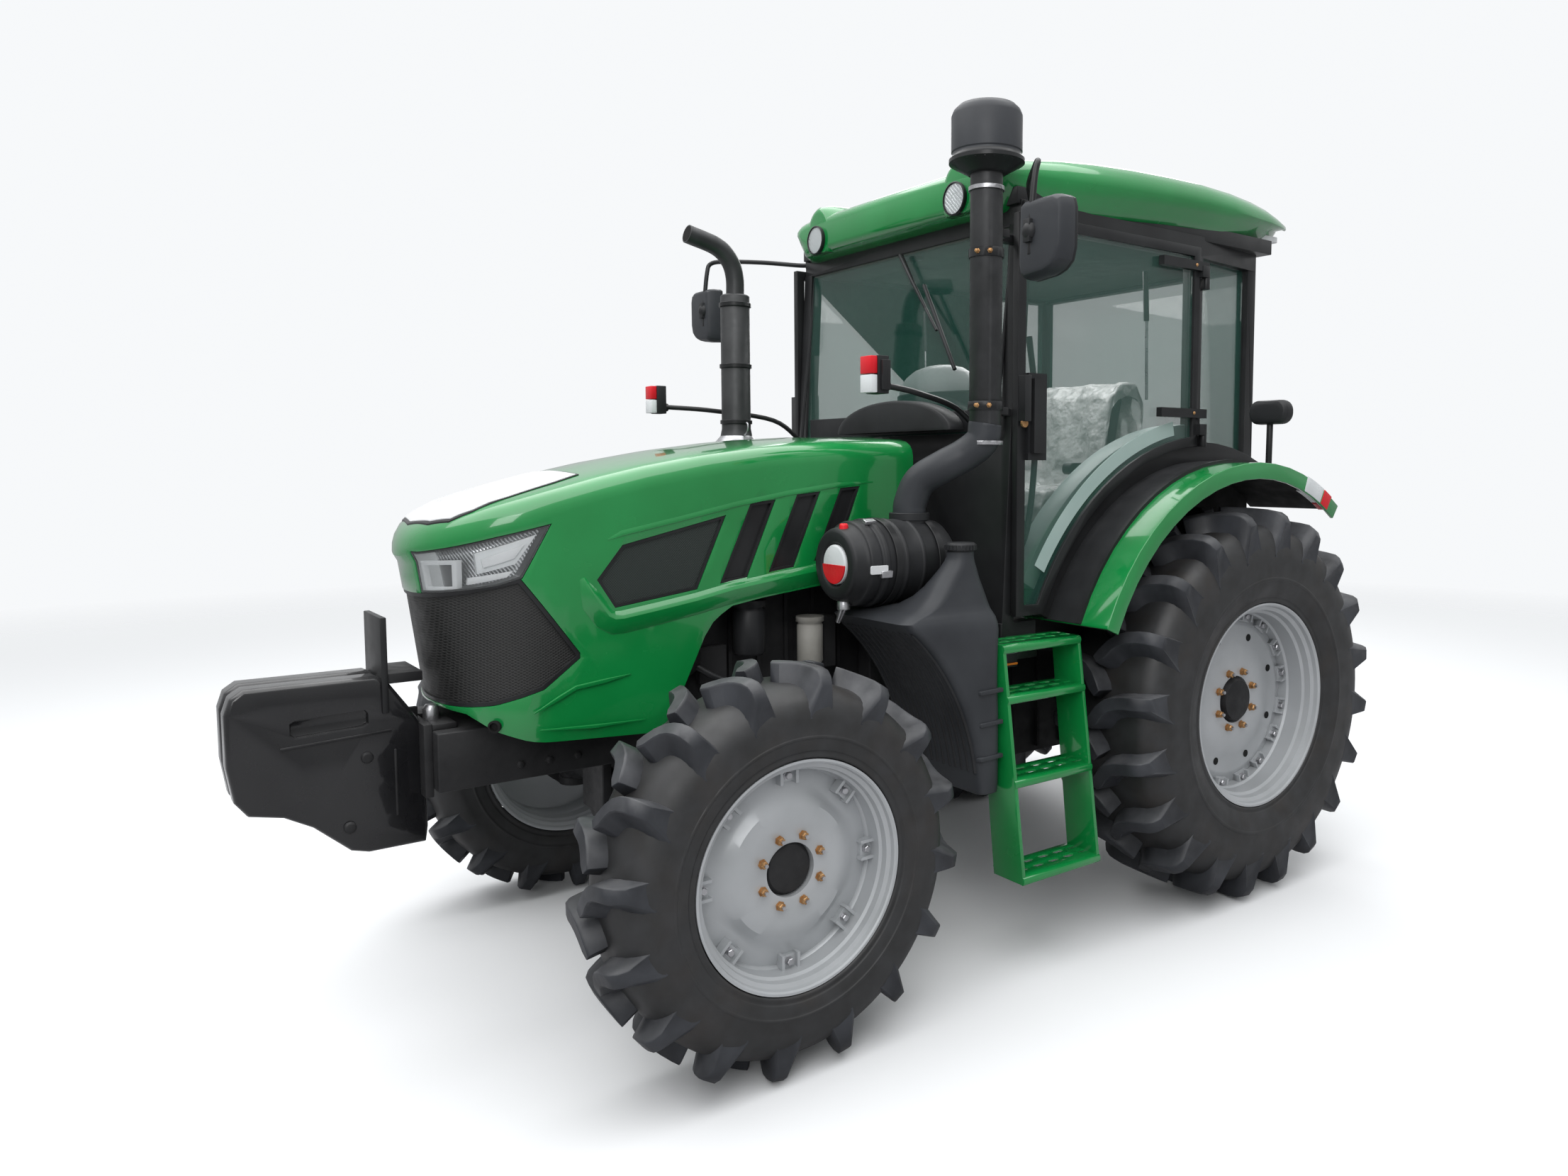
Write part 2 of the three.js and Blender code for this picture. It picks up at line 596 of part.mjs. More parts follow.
function hoodShell() {
  const lights = [-1, 1].map((side) =>
    onSide(side, zone(LIGHT_ZONE, [LIGHT_IN, HOOD_HALF + 5])));
  const ribZ = HOOD_HINGE_Z + 95;
  const hinges = [-1, 1].map((side) => {
    const x = [HOOD_HINGE_X + SEAT_GAP, HOOD_HINGE_X + HINGE_LEAF];
    return onSide(side, join(
      bar(HINGE_RADIUS, "x", x, [0, HOOD_HINGE_Y, HOOD_HINGE_Z]),
      box(x, [HOOD_HINGE_Y - HINGE_RADIUS, HOOD_HINGE_Y + HINGE_RADIUS], [HOOD_HINGE_Z, ribZ]),
    ));
  });
  return join(cut(hoodSkin, zone(GRILLE_ZONE, wideX), ...lights), ...hinges);
}
add("hood_shell", hoodShell(), GREEN);
add("grille", hoodSkin.intersect(zone(shrunk(GRILLE_ZONE, SEAT_GAP), wideX)), BLACK);
for (const [name, side] of SIDES) {
  const light = hoodSkin.intersect(
    zone(shrunk(LIGHT_ZONE, SEAT_GAP), [LIGHT_IN + SEAT_GAP, HOOD_HALF + 5]));
  add(`headlight_${name}`, onSide(side, light), LAMP);
}

// ---------------------------------------------------------------- fenders

const ARCH_LOW = FENDER_INNER + FENDER_SKIN; // outside of the fender
const ARCH_HIGH = ARCH_LOW + SEAT_GAP + ARCH_RAIL; // outside of the cab's rail
const frontAngle = (radius, z) =>
  180 - THREE.MathUtils.radToDeg(Math.asin((z - REAR_WHEEL.radius) / radius));

function fender() {
  const front = frontAngle(FENDER_INNER, FENDER_FRONT_Z);
  const band = acrossX(archShape(FENDER_INNER, ARCH_LOW, FENDER_REAR_ANGLE, front), [FENDER_IN, FENDER_OUT]);
  const lip = acrossX(archShape(FENDER_INNER - 45, FENDER_INNER + 5, FENDER_REAR_ANGLE, front),
    [FENDER_OUT - 14, FENDER_OUT]);
  const disc = acrossX(archShape(1, FENDER_INNER + 8, 0, 180), [FENDER_IN, FENDER_IN + 14]);
  const above = box([0, 900], [CAB_FRONT + 100, CAB_REAR + 80], [FLOOR_LOW, 2000]);
  return join(band, lip, disc.intersect(above));
}
for (const [name, side] of SIDES) add(`fender_${name}`, onSide(side, fender()), GREEN);

// ---------------------------------------------------------------- cab frame

// The cab's front face leans back: where it is at height z.
const frontAt = (z) =>
  CAB_FRONT + ((CAB_FRONT_TOP - CAB_FRONT) * (z - FLOOR_LOW)) / (HEADER_HIGH - FLOOR_LOW);

// A slab that leans with the cab's front, `back` behind its outer face.
function leaning(x, [z0, z1], back, thickness) {
  const shape = outline([
    [frontAt(z0) + back, z0], [frontAt(z0) + back + thickness, z0],
    [frontAt(z1) + back + thickness, z1], [frontAt(z1) + back, z1],
  ]);
  return acrossX(shape, x);
}

const WALL_HALF = FENDER_IN - SEAT_GAP; // between the fenders' inner walls
const WIDE_FLOOR_REAR = archY(ARCH_LOW, FLOOR_LOW) - 12;

function headerRing() {
  const corner = (inset) => [
    [CAB_HALF - inset, CAB_FRONT_TOP + inset], [CAB_HALF - inset, B_PILLAR_Y],
    [CAB_REAR_HALF - inset, CAB_REAR - inset], [inset - CAB_REAR_HALF, CAB_REAR - inset],
    [inset - CAB_HALF, B_PILLAR_Y], [inset - CAB_HALF, CAB_FRONT_TOP + inset],
  ];
  const ring = outline(corner(0));
  ring.holes.push(outline(corner(PILLAR)));
  return upZ(ring, [HEADER_LOW, HEADER_HIGH]);
}

function cabSide() {
  const pillarX = [CAB_HALF - PILLAR, CAB_HALF];
  const front = leaning(pillarX, [FLOOR_LOW, HEADER_LOW + 5], 0, PILLAR);
  const archBack = THREE.MathUtils.radToDeg(Math.acos(CAB_REAR / ARCH_HIGH));
  const arch = acrossX(
    archShape(ARCH_LOW + SEAT_GAP, ARCH_HIGH, archBack, frontAngle(ARCH_LOW, SILL_HIGH)), [ARCH_IN, CAB_HALF]);
  const sill = box([ARCH_IN, CAB_HALF], [CAB_FRONT, archY(ARCH_HIGH, SILL_HIGH) + 25], [FLOOR_LOW, SILL_HIGH]);
  const middle = box(pillarX, [B_PILLAR_Y - PILLAR / 2, B_PILLAR_Y + PILLAR / 2],
    [REAR_WHEEL.radius + ARCH_HIGH - 20, HEADER_LOW + 5]);
  const rear = box([CAB_REAR_HALF - PILLAR, CAB_REAR_HALF], [CAB_REAR - PILLAR, CAB_REAR],
    [REAR_WHEEL.radius + Math.sqrt(ARCH_HIGH ** 2 - CAB_REAR ** 2) - 30, HEADER_LOW + 5]);
  const lugs = DOOR_HINGES_Z.map((z) => join(
    box([CAB_HALF - 10, DOOR_AXIS_X], [DOOR_AXIS_Y - 8, DOOR_AXIS_Y + 14], [z - 45, z]),
    bar(HINGE_RADIUS, "z", [z - 45, z], [DOOR_AXIS_X, DOOR_AXIS_Y, 0]),
  ));
  return join(front, arch, sill, middle, rear, ...lugs);
}

function stackBrackets() {
  return [1900, 2500].map((z) => {
    const reach = STACK.y + STACK.radius + SEAT_GAP;
    const height = [z, z + 26];
    return join(
      box([CAB_HALF - 40, STACK.x + 10], [reach, reach + 40], height),
      box([CAB_HALF - 40, CAB_HALF - 4], [reach, frontAt(z) + 10], height),
    );
  });
}

function cabFrame() {
  const narrow = box([-WALL_HALF, WALL_HALF], [CAB_FRONT, CAB_REAR], [FLOOR_LOW, FLOOR_HIGH]);
  const wide = box([-CAB_HALF, CAB_HALF], [CAB_FRONT, WIDE_FLOOR_REAR], [FLOOR_LOW, FLOOR_HIGH]);
  const firewall = leaning([20 - CAB_HALF, CAB_HALF - 20], [FLOOR_LOW, DASH_HIGH], 0, PANEL);
  const rearWall = box([-WALL_HALF, WALL_HALF], [CAB_REAR - PANEL, CAB_REAR], [FLOOR_LOW, REAR_GLASS_LOW]);
  const rearSill = box([-CAB_REAR_HALF + 5, CAB_REAR_HALF - 5], [CAB_REAR - PANEL, CAB_REAR],
    [REAR_GLASS_LOW - 60, REAR_GLASS_LOW]);
  const hoodHinges = [-1, 1].map((side) => onSide(side, join(
    box([HOOD_HINGE_X - HINGE_LEAF, HOOD_HINGE_X], [HOOD_HINGE_Y, frontAt(HOOD_HINGE_Z) + 5],
      [HOOD_HINGE_Z - HINGE_RADIUS, HOOD_HINGE_Z + HINGE_RADIUS]),
    bar(HINGE_RADIUS, "x", [HOOD_HINGE_X - HINGE_LEAF, HOOD_HINGE_X], [0, HOOD_HINGE_Y, HOOD_HINGE_Z]),
  )));
  return join(narrow, wide, firewall, rearWall, rearSill, headerRing(), cabSide(), onSide(-1, cabSide()),
    ...hoodHinges, ...stackBrackets());
}
add("cab_frame", cabFrame(), BLACK);

// ---------------------------------------------------------------- cab glass

const glassTop = HEADER_LOW - SEAT_GAP;
const windshieldHalf = CAB_HALF - PILLAR - SEAT_GAP;
add("windshield",
  leaning([-windshieldHalf, windshieldHalf], [DASH_HIGH + SEAT_GAP, glassTop], 10, GLASS), CLEAR);

function quarterGlass() {
  const front = [CAB_HALF - PILLAR / 2, B_PILLAR_Y + PILLAR / 2 + SEAT_GAP];
  const rear = [CAB_REAR_HALF - PILLAR / 2, CAB_REAR - PILLAR - SEAT_GAP];
  const plan = outline([front, rear, [rear[0] - GLASS, rear[1]], [front[0] - GLASS, front[1]]]);
  const arch = acrossX(archShape(1, ARCH_HIGH + SEAT_GAP, 0, 180), [0, CAB_HALF + 50]);
  return upZ(plan, [REAR_WHEEL.radius + ARCH_HIGH / 2, glassTop]).subtract(arch);
}
for (const [name, side] of SIDES) add(`quarter_glass_${name}`, onSide(side, quarterGlass()), CLEAR);

const rearGlassHalf = CAB_REAR_HALF - PILLAR - SEAT_GAP;
add("rear_window", box([-rearGlassHalf, rearGlassHalf], [CAB_REAR - PANEL, CAB_REAR - PANEL + GLASS],
  [REAR_GLASS_LOW + SEAT_GAP, glassTop]), CLEAR);

// ---------------------------------------------------------------- doors

const DOOR_IN = CAB_HALF + DOOR_GAP;
const DOOR_OUT = DOOR_IN + DOOR_THICKNESS;
const DOOR_ARCH = ARCH_LOW + DOOR_ARCH_CLEAR;

// The door's outline as (y, z) points: its lower rear edge follows the fender.
function doorShape(inset) {
  const front = DOOR_FRONT + inset;
  const rear = DOOR_REAR - inset;
  const radius = DOOR_ARCH + inset;
  const low = DOOR_LOW + inset;
  const from = Math.atan2(Math.sqrt(radius ** 2 - rear ** 2), rear);
  const to = Math.atan2(low - REAR_WHEEL.radius, archY(radius, low));
  const steps = 14;
  const arch = Array.from({ length: steps + 1 }, (_, i) => {
    const angle = from + ((to - from) * i) / steps;
    return [radius * Math.cos(angle), REAR_WHEEL.radius + radius * Math.sin(angle)];
  });
  return outline([[front, DOOR_TOP - inset], [front, low], ...arch.reverse(), [rear, DOOR_TOP - inset]]);
}

function doorFrame() {
  const shape = doorShape(0);
  shape.holes.push(doorShape(DOOR_FRAME));
  const frame = acrossX(shape, [DOOR_IN, DOOR_OUT]);
  const hinges = DOOR_HINGES_Z.map((z) => join(
    bar(HINGE_RADIUS, "z", [z + SEAT_GAP, z + 45], [DOOR_AXIS_X, DOOR_AXIS_Y, 0]),
    box([DOOR_OUT - 8, DOOR_AXIS_X + HINGE_RADIUS], [DOOR_REAR - 12, DOOR_AXIS_Y], [z + SEAT_GAP, z + 45]),
  ));
  const handle = box([DOOR_OUT - 5, DOOR_OUT + 34], [DOOR_FRONT + 4, DOOR_FRONT + 34], [1880, 2040]);
  return join(frame, handle, ...hinges);
}

for (const [name, side] of SIDES) {
  add(`door_frame_${name}`, onSide(side, doorFrame()), BLACK);
  const middle = (DOOR_IN + DOOR_OUT) / 2;
  const pane = acrossX(doorShape(DOOR_FRAME + SEAT_GAP), [middle - GLASS / 2, middle + GLASS / 2]);
  add(`door_glass_${name}`, onSide(side, pane), CLEAR);
}

// ---------------------------------------------------------------- roof

function roof() {
  const sideView = outline([
    [ROOF_FRONT, ROOF_LOW + 80], [ROOF_FRONT + 30, ROOF_HIGH - 35], [ROOF_FRONT + 300, ROOF_HIGH - 8],
    [-300, ROOF_HIGH], [ROOF_REAR - 350, ROOF_HIGH - 25], [ROOF_REAR - 30, ROOF_HIGH - 68],
    [ROOF_REAR, ROOF_HIGH - 90], [ROOF_REAR - 40, ROOF_LOW + 50], [ROOF_REAR - 190, ROOF_LOW],
    [CAB_FRONT_TOP - 12, ROOF_LOW],
  ]);
  const edge = [
    [600, ROOF_FRONT + 4], [690, ROOF_FRONT + 70], [ROOF_HALF - 25, ROOF_FRONT + 230],
    [ROOF_HALF, -500], [ROOF_HALF, -100], [ROOF_HALF - 25, 250], [690, ROOF_REAR - 90], [600, ROOF_REAR],
  ];
  const plan = outline([...edge, ...edge.map(([x, y]) => [-x, y]).reverse()]);
  const across = outline([
    [-ROOF_HALF, ROOF_LOW], [ROOF_HALF, ROOF_LOW], [ROOF_HALF, ROOF_LOW + 75], [ROOF_HALF - 60, ROOF_HIGH - 30],
    [ROOF_HALF - 200, ROOF_HIGH], [200 - ROOF_HALF, ROOF_HIGH], [60 - ROOF_HALF, ROOF_HIGH - 30],
    [-ROOF_HALF, ROOF_LOW + 75],
  ]);
  const pockets = [-1, 1].map((side) => onSide(side, bar(WORK_LIGHT.radius + SEAT_GAP, "y",
    [ROOF_FRONT - 60, lampY[1] + SEAT_GAP], [WORK_LIGHT.x, 0, WORK_LIGHT.z])));
  const body = acrossX(sideView, [-ROOF_HALF, ROOF_HALF])
    .intersect(upZ(plan, [ROOF_LOW, ROOF_HIGH + 10]))
    .intersect(alongY(across, [ROOF_FRONT - 10, ROOF_REAR + 10]));
  return cut(body, ...pockets);
}
const lampY = [ROOF_FRONT + 12, ROOF_FRONT + 12 + WORK_LIGHT.depth];
add("cab_roof", roof(), GREEN);

for (const [name, side] of SIDES) {
  const lamp = bar(WORK_LIGHT.radius, "y", lampY, [WORK_LIGHT.x, 0, WORK_LIGHT.z]);
  add(`work_light_${name}`, onSide(side, lamp), LAMP);
}

// ---------------------------------------------------------------- mirrors

function mirror() {
  const { x, y, z, width, depth, height } = MIRROR;
  const top = z + height / 2;
  const head = box([x - width / 2, x + width / 2], [y - depth / 2, y + depth / 2], [z - height / 2, top]);
  const armZ = HEADER_HIGH - 22;
  const foot = [CAB_HALF + SEAT_GAP, CAB_HALF + 8];
  const plate = box(foot, [CAB_FRONT_TOP, CAB_FRONT_TOP + 50], [armZ - 18, armZ + 18]);
  const arm = bent([[foot[1] - 2, CAB_FRONT_TOP + 25, armZ], [foot[1] + 40, CAB_FRONT_TOP, armZ],
    [x - 60, y + 20, armZ + 22], [x, y, armZ + 8], [x, y, top - 10]], 11, 14, 4);
  return join(head, plate, arm);
}
for (const [name, side] of SIDES) add(`mirror_${name}`, onSide(side, mirror()), BLACK);

// ---------------------------------------------------------------- marker lamps

function markerLamp() {
  const { x, y, z, width, depth, height } = MARKER;
  const head = box([x - width / 2, x + width / 2], [y - depth / 2, y + depth / 2], [z - height / 2, z + height / 2]);
  const footZ = DASH_HIGH - 50;
  const foot = frontAt(footZ) - SEAT_GAP;
  const plate = box([575, 625], [foot - 8, foot], [footZ, footZ + 36]);
  const arm = bent([[600, foot - 4, footZ + 18], [600, foot - 60, footZ + 40], [612, foot - 190, 1925],
    [x - 40, y + 120, z - 34], [x - 6, y + 20, z - 30]], 11, 12, 4);
  return join(head, plate, arm);
}
for (const [name, side] of SIDES) add(`marker_lamp_${name}`, onSide(side, markerLamp()), BLACK);

// ---------------------------------------------------------------- rear lamps

function rearLamp() {
  const { x, y, z, width, depth, height } = REAR_LAMP;
  const head = box([x - width / 2, x + width / 2], [y - depth / 2, y + depth / 2], [z - height / 2, z + height / 2]);
  const foot = archTop(ARCH_LOW, y - 13) + SEAT_GAP;
  return join(head, bar(12, "z", [foot, z], [x, y, 0], 12));
}
for (const [name, side] of SIDES) add(`rear_lamp_${name}`, onSide(side, rearLamp()), BLACK);

// ---------------------------------------------------------------- tanks

function tank() {
  const clear = FRONT_WHEEL.radius + TANK_WHEEL_GAP;
  const from = Math.asin((TANK_HIGH - AXLE_Z) / clear);
  const to = Math.asin((TANK_LOW - AXLE_Z) / clear);
  const steps = 10;
  const hollow = Array.from({ length: steps + 1 }, (_, i) => {
    const angle = from + ((to - from) * i) / steps;
    return [AXLE_Y + clear * Math.cos(angle), AXLE_Z + clear * Math.sin(angle)];
  });
  const body = acrossX(outline([...hollow, [TANK_REAR, TANK_LOW], [TANK_REAR, TANK_HIGH]]), [TANK_IN, TANK_OUT]);
  const { x, y, radius, top } = TANK_NECK;
  const shoulder = acrossX(outline([
    [hollow[0][0] + 20, TANK_HIGH - 5], [TANK_REAR, TANK_HIGH - 5], [TANK_REAR, TANK_HIGH + 30],
    [y + radius + 10, TANK_HIGH + 110], [y - radius - 10, TANK_HIGH + 120],
  ]), [x - radius - 8, x + radius + 8]);
  const neck = bar(radius, "z", [TANK_HIGH, top], [x, y, 0]);
  return join(body, shoulder, neck);
}
for (const [name, side] of SIDES) add(`fuel_tank_${name}`, onSide(side, tank()), BLACK);

// ---------------------------------------------------------------- steps

function steps() {
  const high = STEP_TREADS[0] + TREAD_THICKNESS / 2;
  const low = STEP_TREADS.at(-1) - TREAD_THICKNESS / 2;
  const shift = (z) => (high - z) / (high - low);
  const xAt = (z) => STEP_TOP_X.map((x, i) => x + (STEP_LOW_X[i] - x) * shift(z));
  const side = outline([
    [xAt(high)[0], high], [xAt(high)[1], high], [xAt(low)[1], low], [xAt(low)[0], low],
  ]);
  const plates = [STEP_FRONT, STEP_REAR - STEP_PLATE].map((y) => alongY(side, [y, y + STEP_PLATE]));
  const treads = STEP_TREADS.map((z) =>
    box(xAt(z), [STEP_FRONT, STEP_REAR], [z - TREAD_THICKNESS / 2, z + TREAD_THICKNESS / 2]));
  const bracket = box([CAB_HALF + SEAT_GAP, STEP_TOP_X[0] + 30], [CAB_FRONT + 20, CAB_FRONT + 150],
    [STEP_TREADS[0] - TREAD_THICKNESS / 2, high]);
  return join(...plates, ...treads, bracket);
}
for (const [name, side] of SIDES) add(`steps_${name}`, onSide(side, steps()), GREEN);

// ---------------------------------------------------------------- air intake

const cleanerBody = bar(CLEANER.radius, "y", [-CLEANER.rear, -CLEANER.front].map((v) => -v).reverse(),
  [CLEANER.x, 0, CLEANER.z], 32);
add("air_cleaner", cleanerBody, BLACK);

function intakeStack() {
  const elbowY = CLEANER.rear - 120;
  const foot = CLEANER.z + CLEANER.radius + SEAT_GAP;
  const bottom = bar(STACK.radius, "z", [foot, foot + 40], [CLEANER.x, elbowY, 0]);
  const elbow = bent([[CLEANER.x, elbowY, foot + 30], [CLEANER.x + 8, elbowY + 12, foot + 90],
    [STACK.x - 40, STACK.y - 50, 1770], [STACK.x, STACK.y, 1860]], STACK.radius, 9, 6);
  return join(bottom, elbow, bar(STACK.radius, "z", [1850, STACK.top], [STACK.x, STACK.y, 0]));
}
add("intake_stack", intakeStack(), BLACK);

add("pre_cleaner", turned([
  [0, STACK.top + SEAT_GAP], [70, STACK.top + SEAT_GAP], [PRE_CLEANER.radius, STACK.top + 45],
  [PRE_CLEANER.radius, PRE_CLEANER.top - 60], [60, PRE_CLEANER.top], [0, PRE_CLEANER.top],
], "z", [STACK.x, STACK.y, 0]), BLACK);

// ---------------------------------------------------------------- exhaust

function exhaust() {
  const { x, y, muffler, sleeve, pipe } = EXHAUST;
  const body = turned([
    [0, EXHAUST_LOW], [muffler - 20, EXHAUST_LOW], [muffler, EXHAUST_LOW + 30], [muffler, EXHAUST_CAP - 30],
    [sleeve, EXHAUST_CAP], [sleeve, SLEEVE_TOP], [0, SLEEVE_TOP],
  ], "z", [x, y, 0]);
  const tip = bent([[x, y, SLEEVE_TOP - 20], [x, y, 2520], [x, y - 60, 2595], [x, y - 170, 2640]], pipe, 10, 6);
  const inlet = bar(34, "x", [x, -ENGINE_HALF - SEAT_GAP], [0, y, EXHAUST_LOW + 34]);
  return join(body, tip, inlet);
}
add("exhaust_stack", exhaust(), CAST);

// ---------------------------------------------------------------- inside the cab

const SEAT_Y = -60;

function driverSeat() {
  const base = box([-150, 150], [SEAT_Y - 330, SEAT_Y - 20], [FLOOR_HIGH + SEAT_GAP, 1480]);
  const cushion = box([-250, 250], [SEAT_Y - 430, SEAT_Y + 60], [1470, 1600]);
  const back = acrossX(outline([[SEAT_Y - 30, 1560], [SEAT_Y + 80, 1560], [SEAT_Y + 200, 2180],
    [SEAT_Y + 110, 2200]]), [-240, 240]);
  return join(base, cushion, back);
}
add("driver_seat", driverSeat(), CLOTH);

function dashConsole() {
  const foot = frontAt(FLOOR_HIGH) + PANEL + SEAT_GAP;
  return acrossX(outline([[foot + 10, FLOOR_HIGH + SEAT_GAP], [foot + 230, FLOOR_HIGH + SEAT_GAP],
    [foot + 250, 1700], [foot + 190, 1860], [foot + 70, 1880]]), [-170, 170]);
}
add("steering_console", dashConsole(), BLACK);

function steeringWheel() {
  const ring = Array.from({ length: 7 }, (_, i) => {
    const angle = (2 * Math.PI * i) / 6;
    return [195 + 15 * Math.cos(angle), 15 * Math.sin(angle)];
  });
  const rim = turned(ring, "z", [0, 0, 0], 20);
  const spokes = [0, 1, 2].map((i) => {
    const angle = (2 * Math.PI * i) / 3 + Math.PI / 2;
    return rod([0, 0, -10], [190 * Math.cos(angle), 190 * Math.sin(angle), 0], 10, 8);
  });
  const column = bar(26, "z", [-330, 8], [0, 0, 0], 12);
  const wheel = join(rim, column, ...spokes);
  return wheel.rotate([-28, 0, 0]).translate([0, -720, 1850]);
}
add("steering_wheel", cut(steeringWheel(), dashConsole().translate(0, SEAT_GAP, 0)), BLACK);

// ---------------------------------------------------------------- hitch

function lowerLink() {
  const { frontX, rearX, frontY, rearY, frontZ, rearZ } = LINK;
  const arm = rod([frontX, frontY, frontZ], [rearX, rearY, rearZ], 28);
  const eye = bar(LINK.eye, "x", [rearX - 22, rearX + 22], [0, rearY, rearZ], EYE_STEPS);
  const pin = bar(22, "x", [HOUSING_HALF + SEAT_GAP, frontX + 20], [0, frontY, frontZ], 16);
  return join(arm, eye, pin);
}
for (const [name, side] of SIDES) add(`lower_link_${name}`, onSide(side, lowerLink()), CAST);

function topLink() {
  const y = HOUSING_REAR + SEAT_GAP;
  const arm = rod([0, y + 30, 900], [0, TOP_LINK_REAR, 860], 22);
  const eye = bar(36, "x", [-22, 22], [0, TOP_LINK_REAR, 860], EYE_STEPS);
  return join(arm, eye, box([-30, 30], [y, y + 60], [860, 940]));
}
add("top_link", topLink(), CAST);

// The rear end is 10 mm lower, as the seat for a trailer's eye.
function drawbar() {
  const [low, high] = [HOUSING_LOW - 45, HOUSING_LOW - SEAT_GAP];
  const seat = high - 10;
  return acrossX(outline([[-300, low], [780, low], [780, seat], [580, seat], [560, high], [-300, high]]), [-45, 45]);
}
add("drawbar", drawbar(), CAST);

// ---------------------------------------------------------------- origin

// The outer box runs from the ballast to the lower links' eyes.
const rearMost = LINK.rearY + LINK.eye;
tractor.position.y = -(WEIGHT_FRONT + rearMost) / 2;

export default tractor;
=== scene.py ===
# %% [markdown]
# # A farm tractor, built around its CAD frame
#
# The CAD model already settles every size and every moving joint. This script
# puts the looks around it: lugged tyres, a painted hood with mesh panels, a
# glazed cab with its seat and controls, lamps, steps and stacks. Every piece
# is made in the same frame as the CAD, so nothing has to be fitted afterwards.

# %% Load the frame
import math

import bmesh
import bpy
import numpy as np
from mathutils import Matrix, Vector


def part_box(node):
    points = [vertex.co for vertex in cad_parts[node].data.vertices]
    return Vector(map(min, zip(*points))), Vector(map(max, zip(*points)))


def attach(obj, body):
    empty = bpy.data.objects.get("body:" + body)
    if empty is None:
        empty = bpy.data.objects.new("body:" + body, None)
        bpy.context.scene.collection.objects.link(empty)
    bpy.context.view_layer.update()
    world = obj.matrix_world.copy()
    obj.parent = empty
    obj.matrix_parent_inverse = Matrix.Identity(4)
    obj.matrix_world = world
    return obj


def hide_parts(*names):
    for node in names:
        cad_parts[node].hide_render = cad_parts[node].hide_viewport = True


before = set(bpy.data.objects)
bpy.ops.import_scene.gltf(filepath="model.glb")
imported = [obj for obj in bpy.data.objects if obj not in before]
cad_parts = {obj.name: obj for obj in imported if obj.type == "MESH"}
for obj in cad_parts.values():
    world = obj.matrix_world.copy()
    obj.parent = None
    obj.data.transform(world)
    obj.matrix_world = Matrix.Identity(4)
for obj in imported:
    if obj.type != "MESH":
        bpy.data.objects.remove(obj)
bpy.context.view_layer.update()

# %% [markdown]
# ## Working sizes
#
# A tractor is measured from its rear axle, so the pieces are worked out in
# millimetres with that axle at y = 0 and then moved into the frame. Where the
# axle lies is read from the rear rim, and nothing has to be typed twice.

# %% The rear axle as the measuring line
rim_low, rim_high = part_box("rim_rear_left")
REAR_AXLE_Y = (rim_low.y + rim_high.y) / 2
SIDES = {"left": 1, "right": -1}
print("rear axle at y =", round(REAR_AXLE_Y, 4), "m")


def shop(node):
    """A CAD node's lowest and highest corner, in millimetres from the rear axle."""
    low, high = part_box(node)
    shift = np.array((0, REAR_AXLE_Y, 0))
    return (np.array(low) - shift) * 1000, (np.array(high) - shift) * 1000


# %% [markdown]
# ## Solids from plain lists
#
# Blender can build a mesh from a list of corners and a list of faces. Each
# small solid here is such a pair, with a material beside it. Pairs are easy to
# mirror, to turn and to gather into one piece, which operators are not.

# %% A solid is corners, faces and a material
class Solid:
    def __init__(self, points, faces, material):
        self.points = np.array(points, float).reshape(-1, 3)
        self.faces = [list(face) for face in faces]
        self.materials = material if isinstance(material, list) else [material] * len(self.faces)

    def mirrored(self):
        flipped = [face[::-1] for face in self.faces]
        return Solid(self.points * (-1, 1, 1), flipped, self.materials)

    def moved(self, x=0, y=0, z=0):
        return Solid(self.points + (x, y, z), self.faces, self.materials)

    def turned(self, axis, degrees, centre=(0, 0, 0)):
        c, s = math.cos(math.radians(degrees)), math.sin(math.radians(degrees))
        spin = {
            "x": [[1, 0, 0], [0, c, -s], [0, s, c]],
            "y": [[c, 0, s], [0, 1, 0], [-s, 0, c]],
            "z": [[c, -s, 0], [s, c, 0], [0, 0, 1]],
        }[axis]
        return Solid((self.points - centre) @ np.array(spin).T + centre, self.faces, self.materials)


def on_side(side, solids):
    """The same solids on the tractor's left (1) or right (-1)."""
    return solids if side > 0 else [solid.mirrored() for solid in solids]


# %% Boxes, outlines carried along an axis, and turned shapes
AXES = {"x": (1, 2, 0), "y": (0, 2, 1), "z": (0, 1, 2)}
ORIGIN = (0, 0, 0)


def carried(outline, axis, low, high, material):
    """An outline of two-axis points, in xyz order, carried along the third axis."""
    u_axis, v_axis, w_axis = AXES[axis]
    count = len(outline)
    points = np.zeros((2 * count, 3))
    for row, w in enumerate((low, high)):
        part = points[row * count:(row + 1) * count]
        part[:, u_axis], part[:, v_axis], part[:, w_axis] = *np.array(outline, float).T, w
    ring = list(range(count))
    sides = [(a, b, b + count, a + count) for a, b in zip(ring, ring[1:] + ring[:1])]
    return facing_out(Solid(points, [ring[::-1], [i + count for i in ring], *sides], material))


def block(x, y, z, material):
    """A box between two places on each axis."""
    corners = [(x[0], y[0]), (x[1], y[0]), (x[1], y[1]), (x[0], y[1])]
    return carried(corners, "z", z[0], z[1], material)


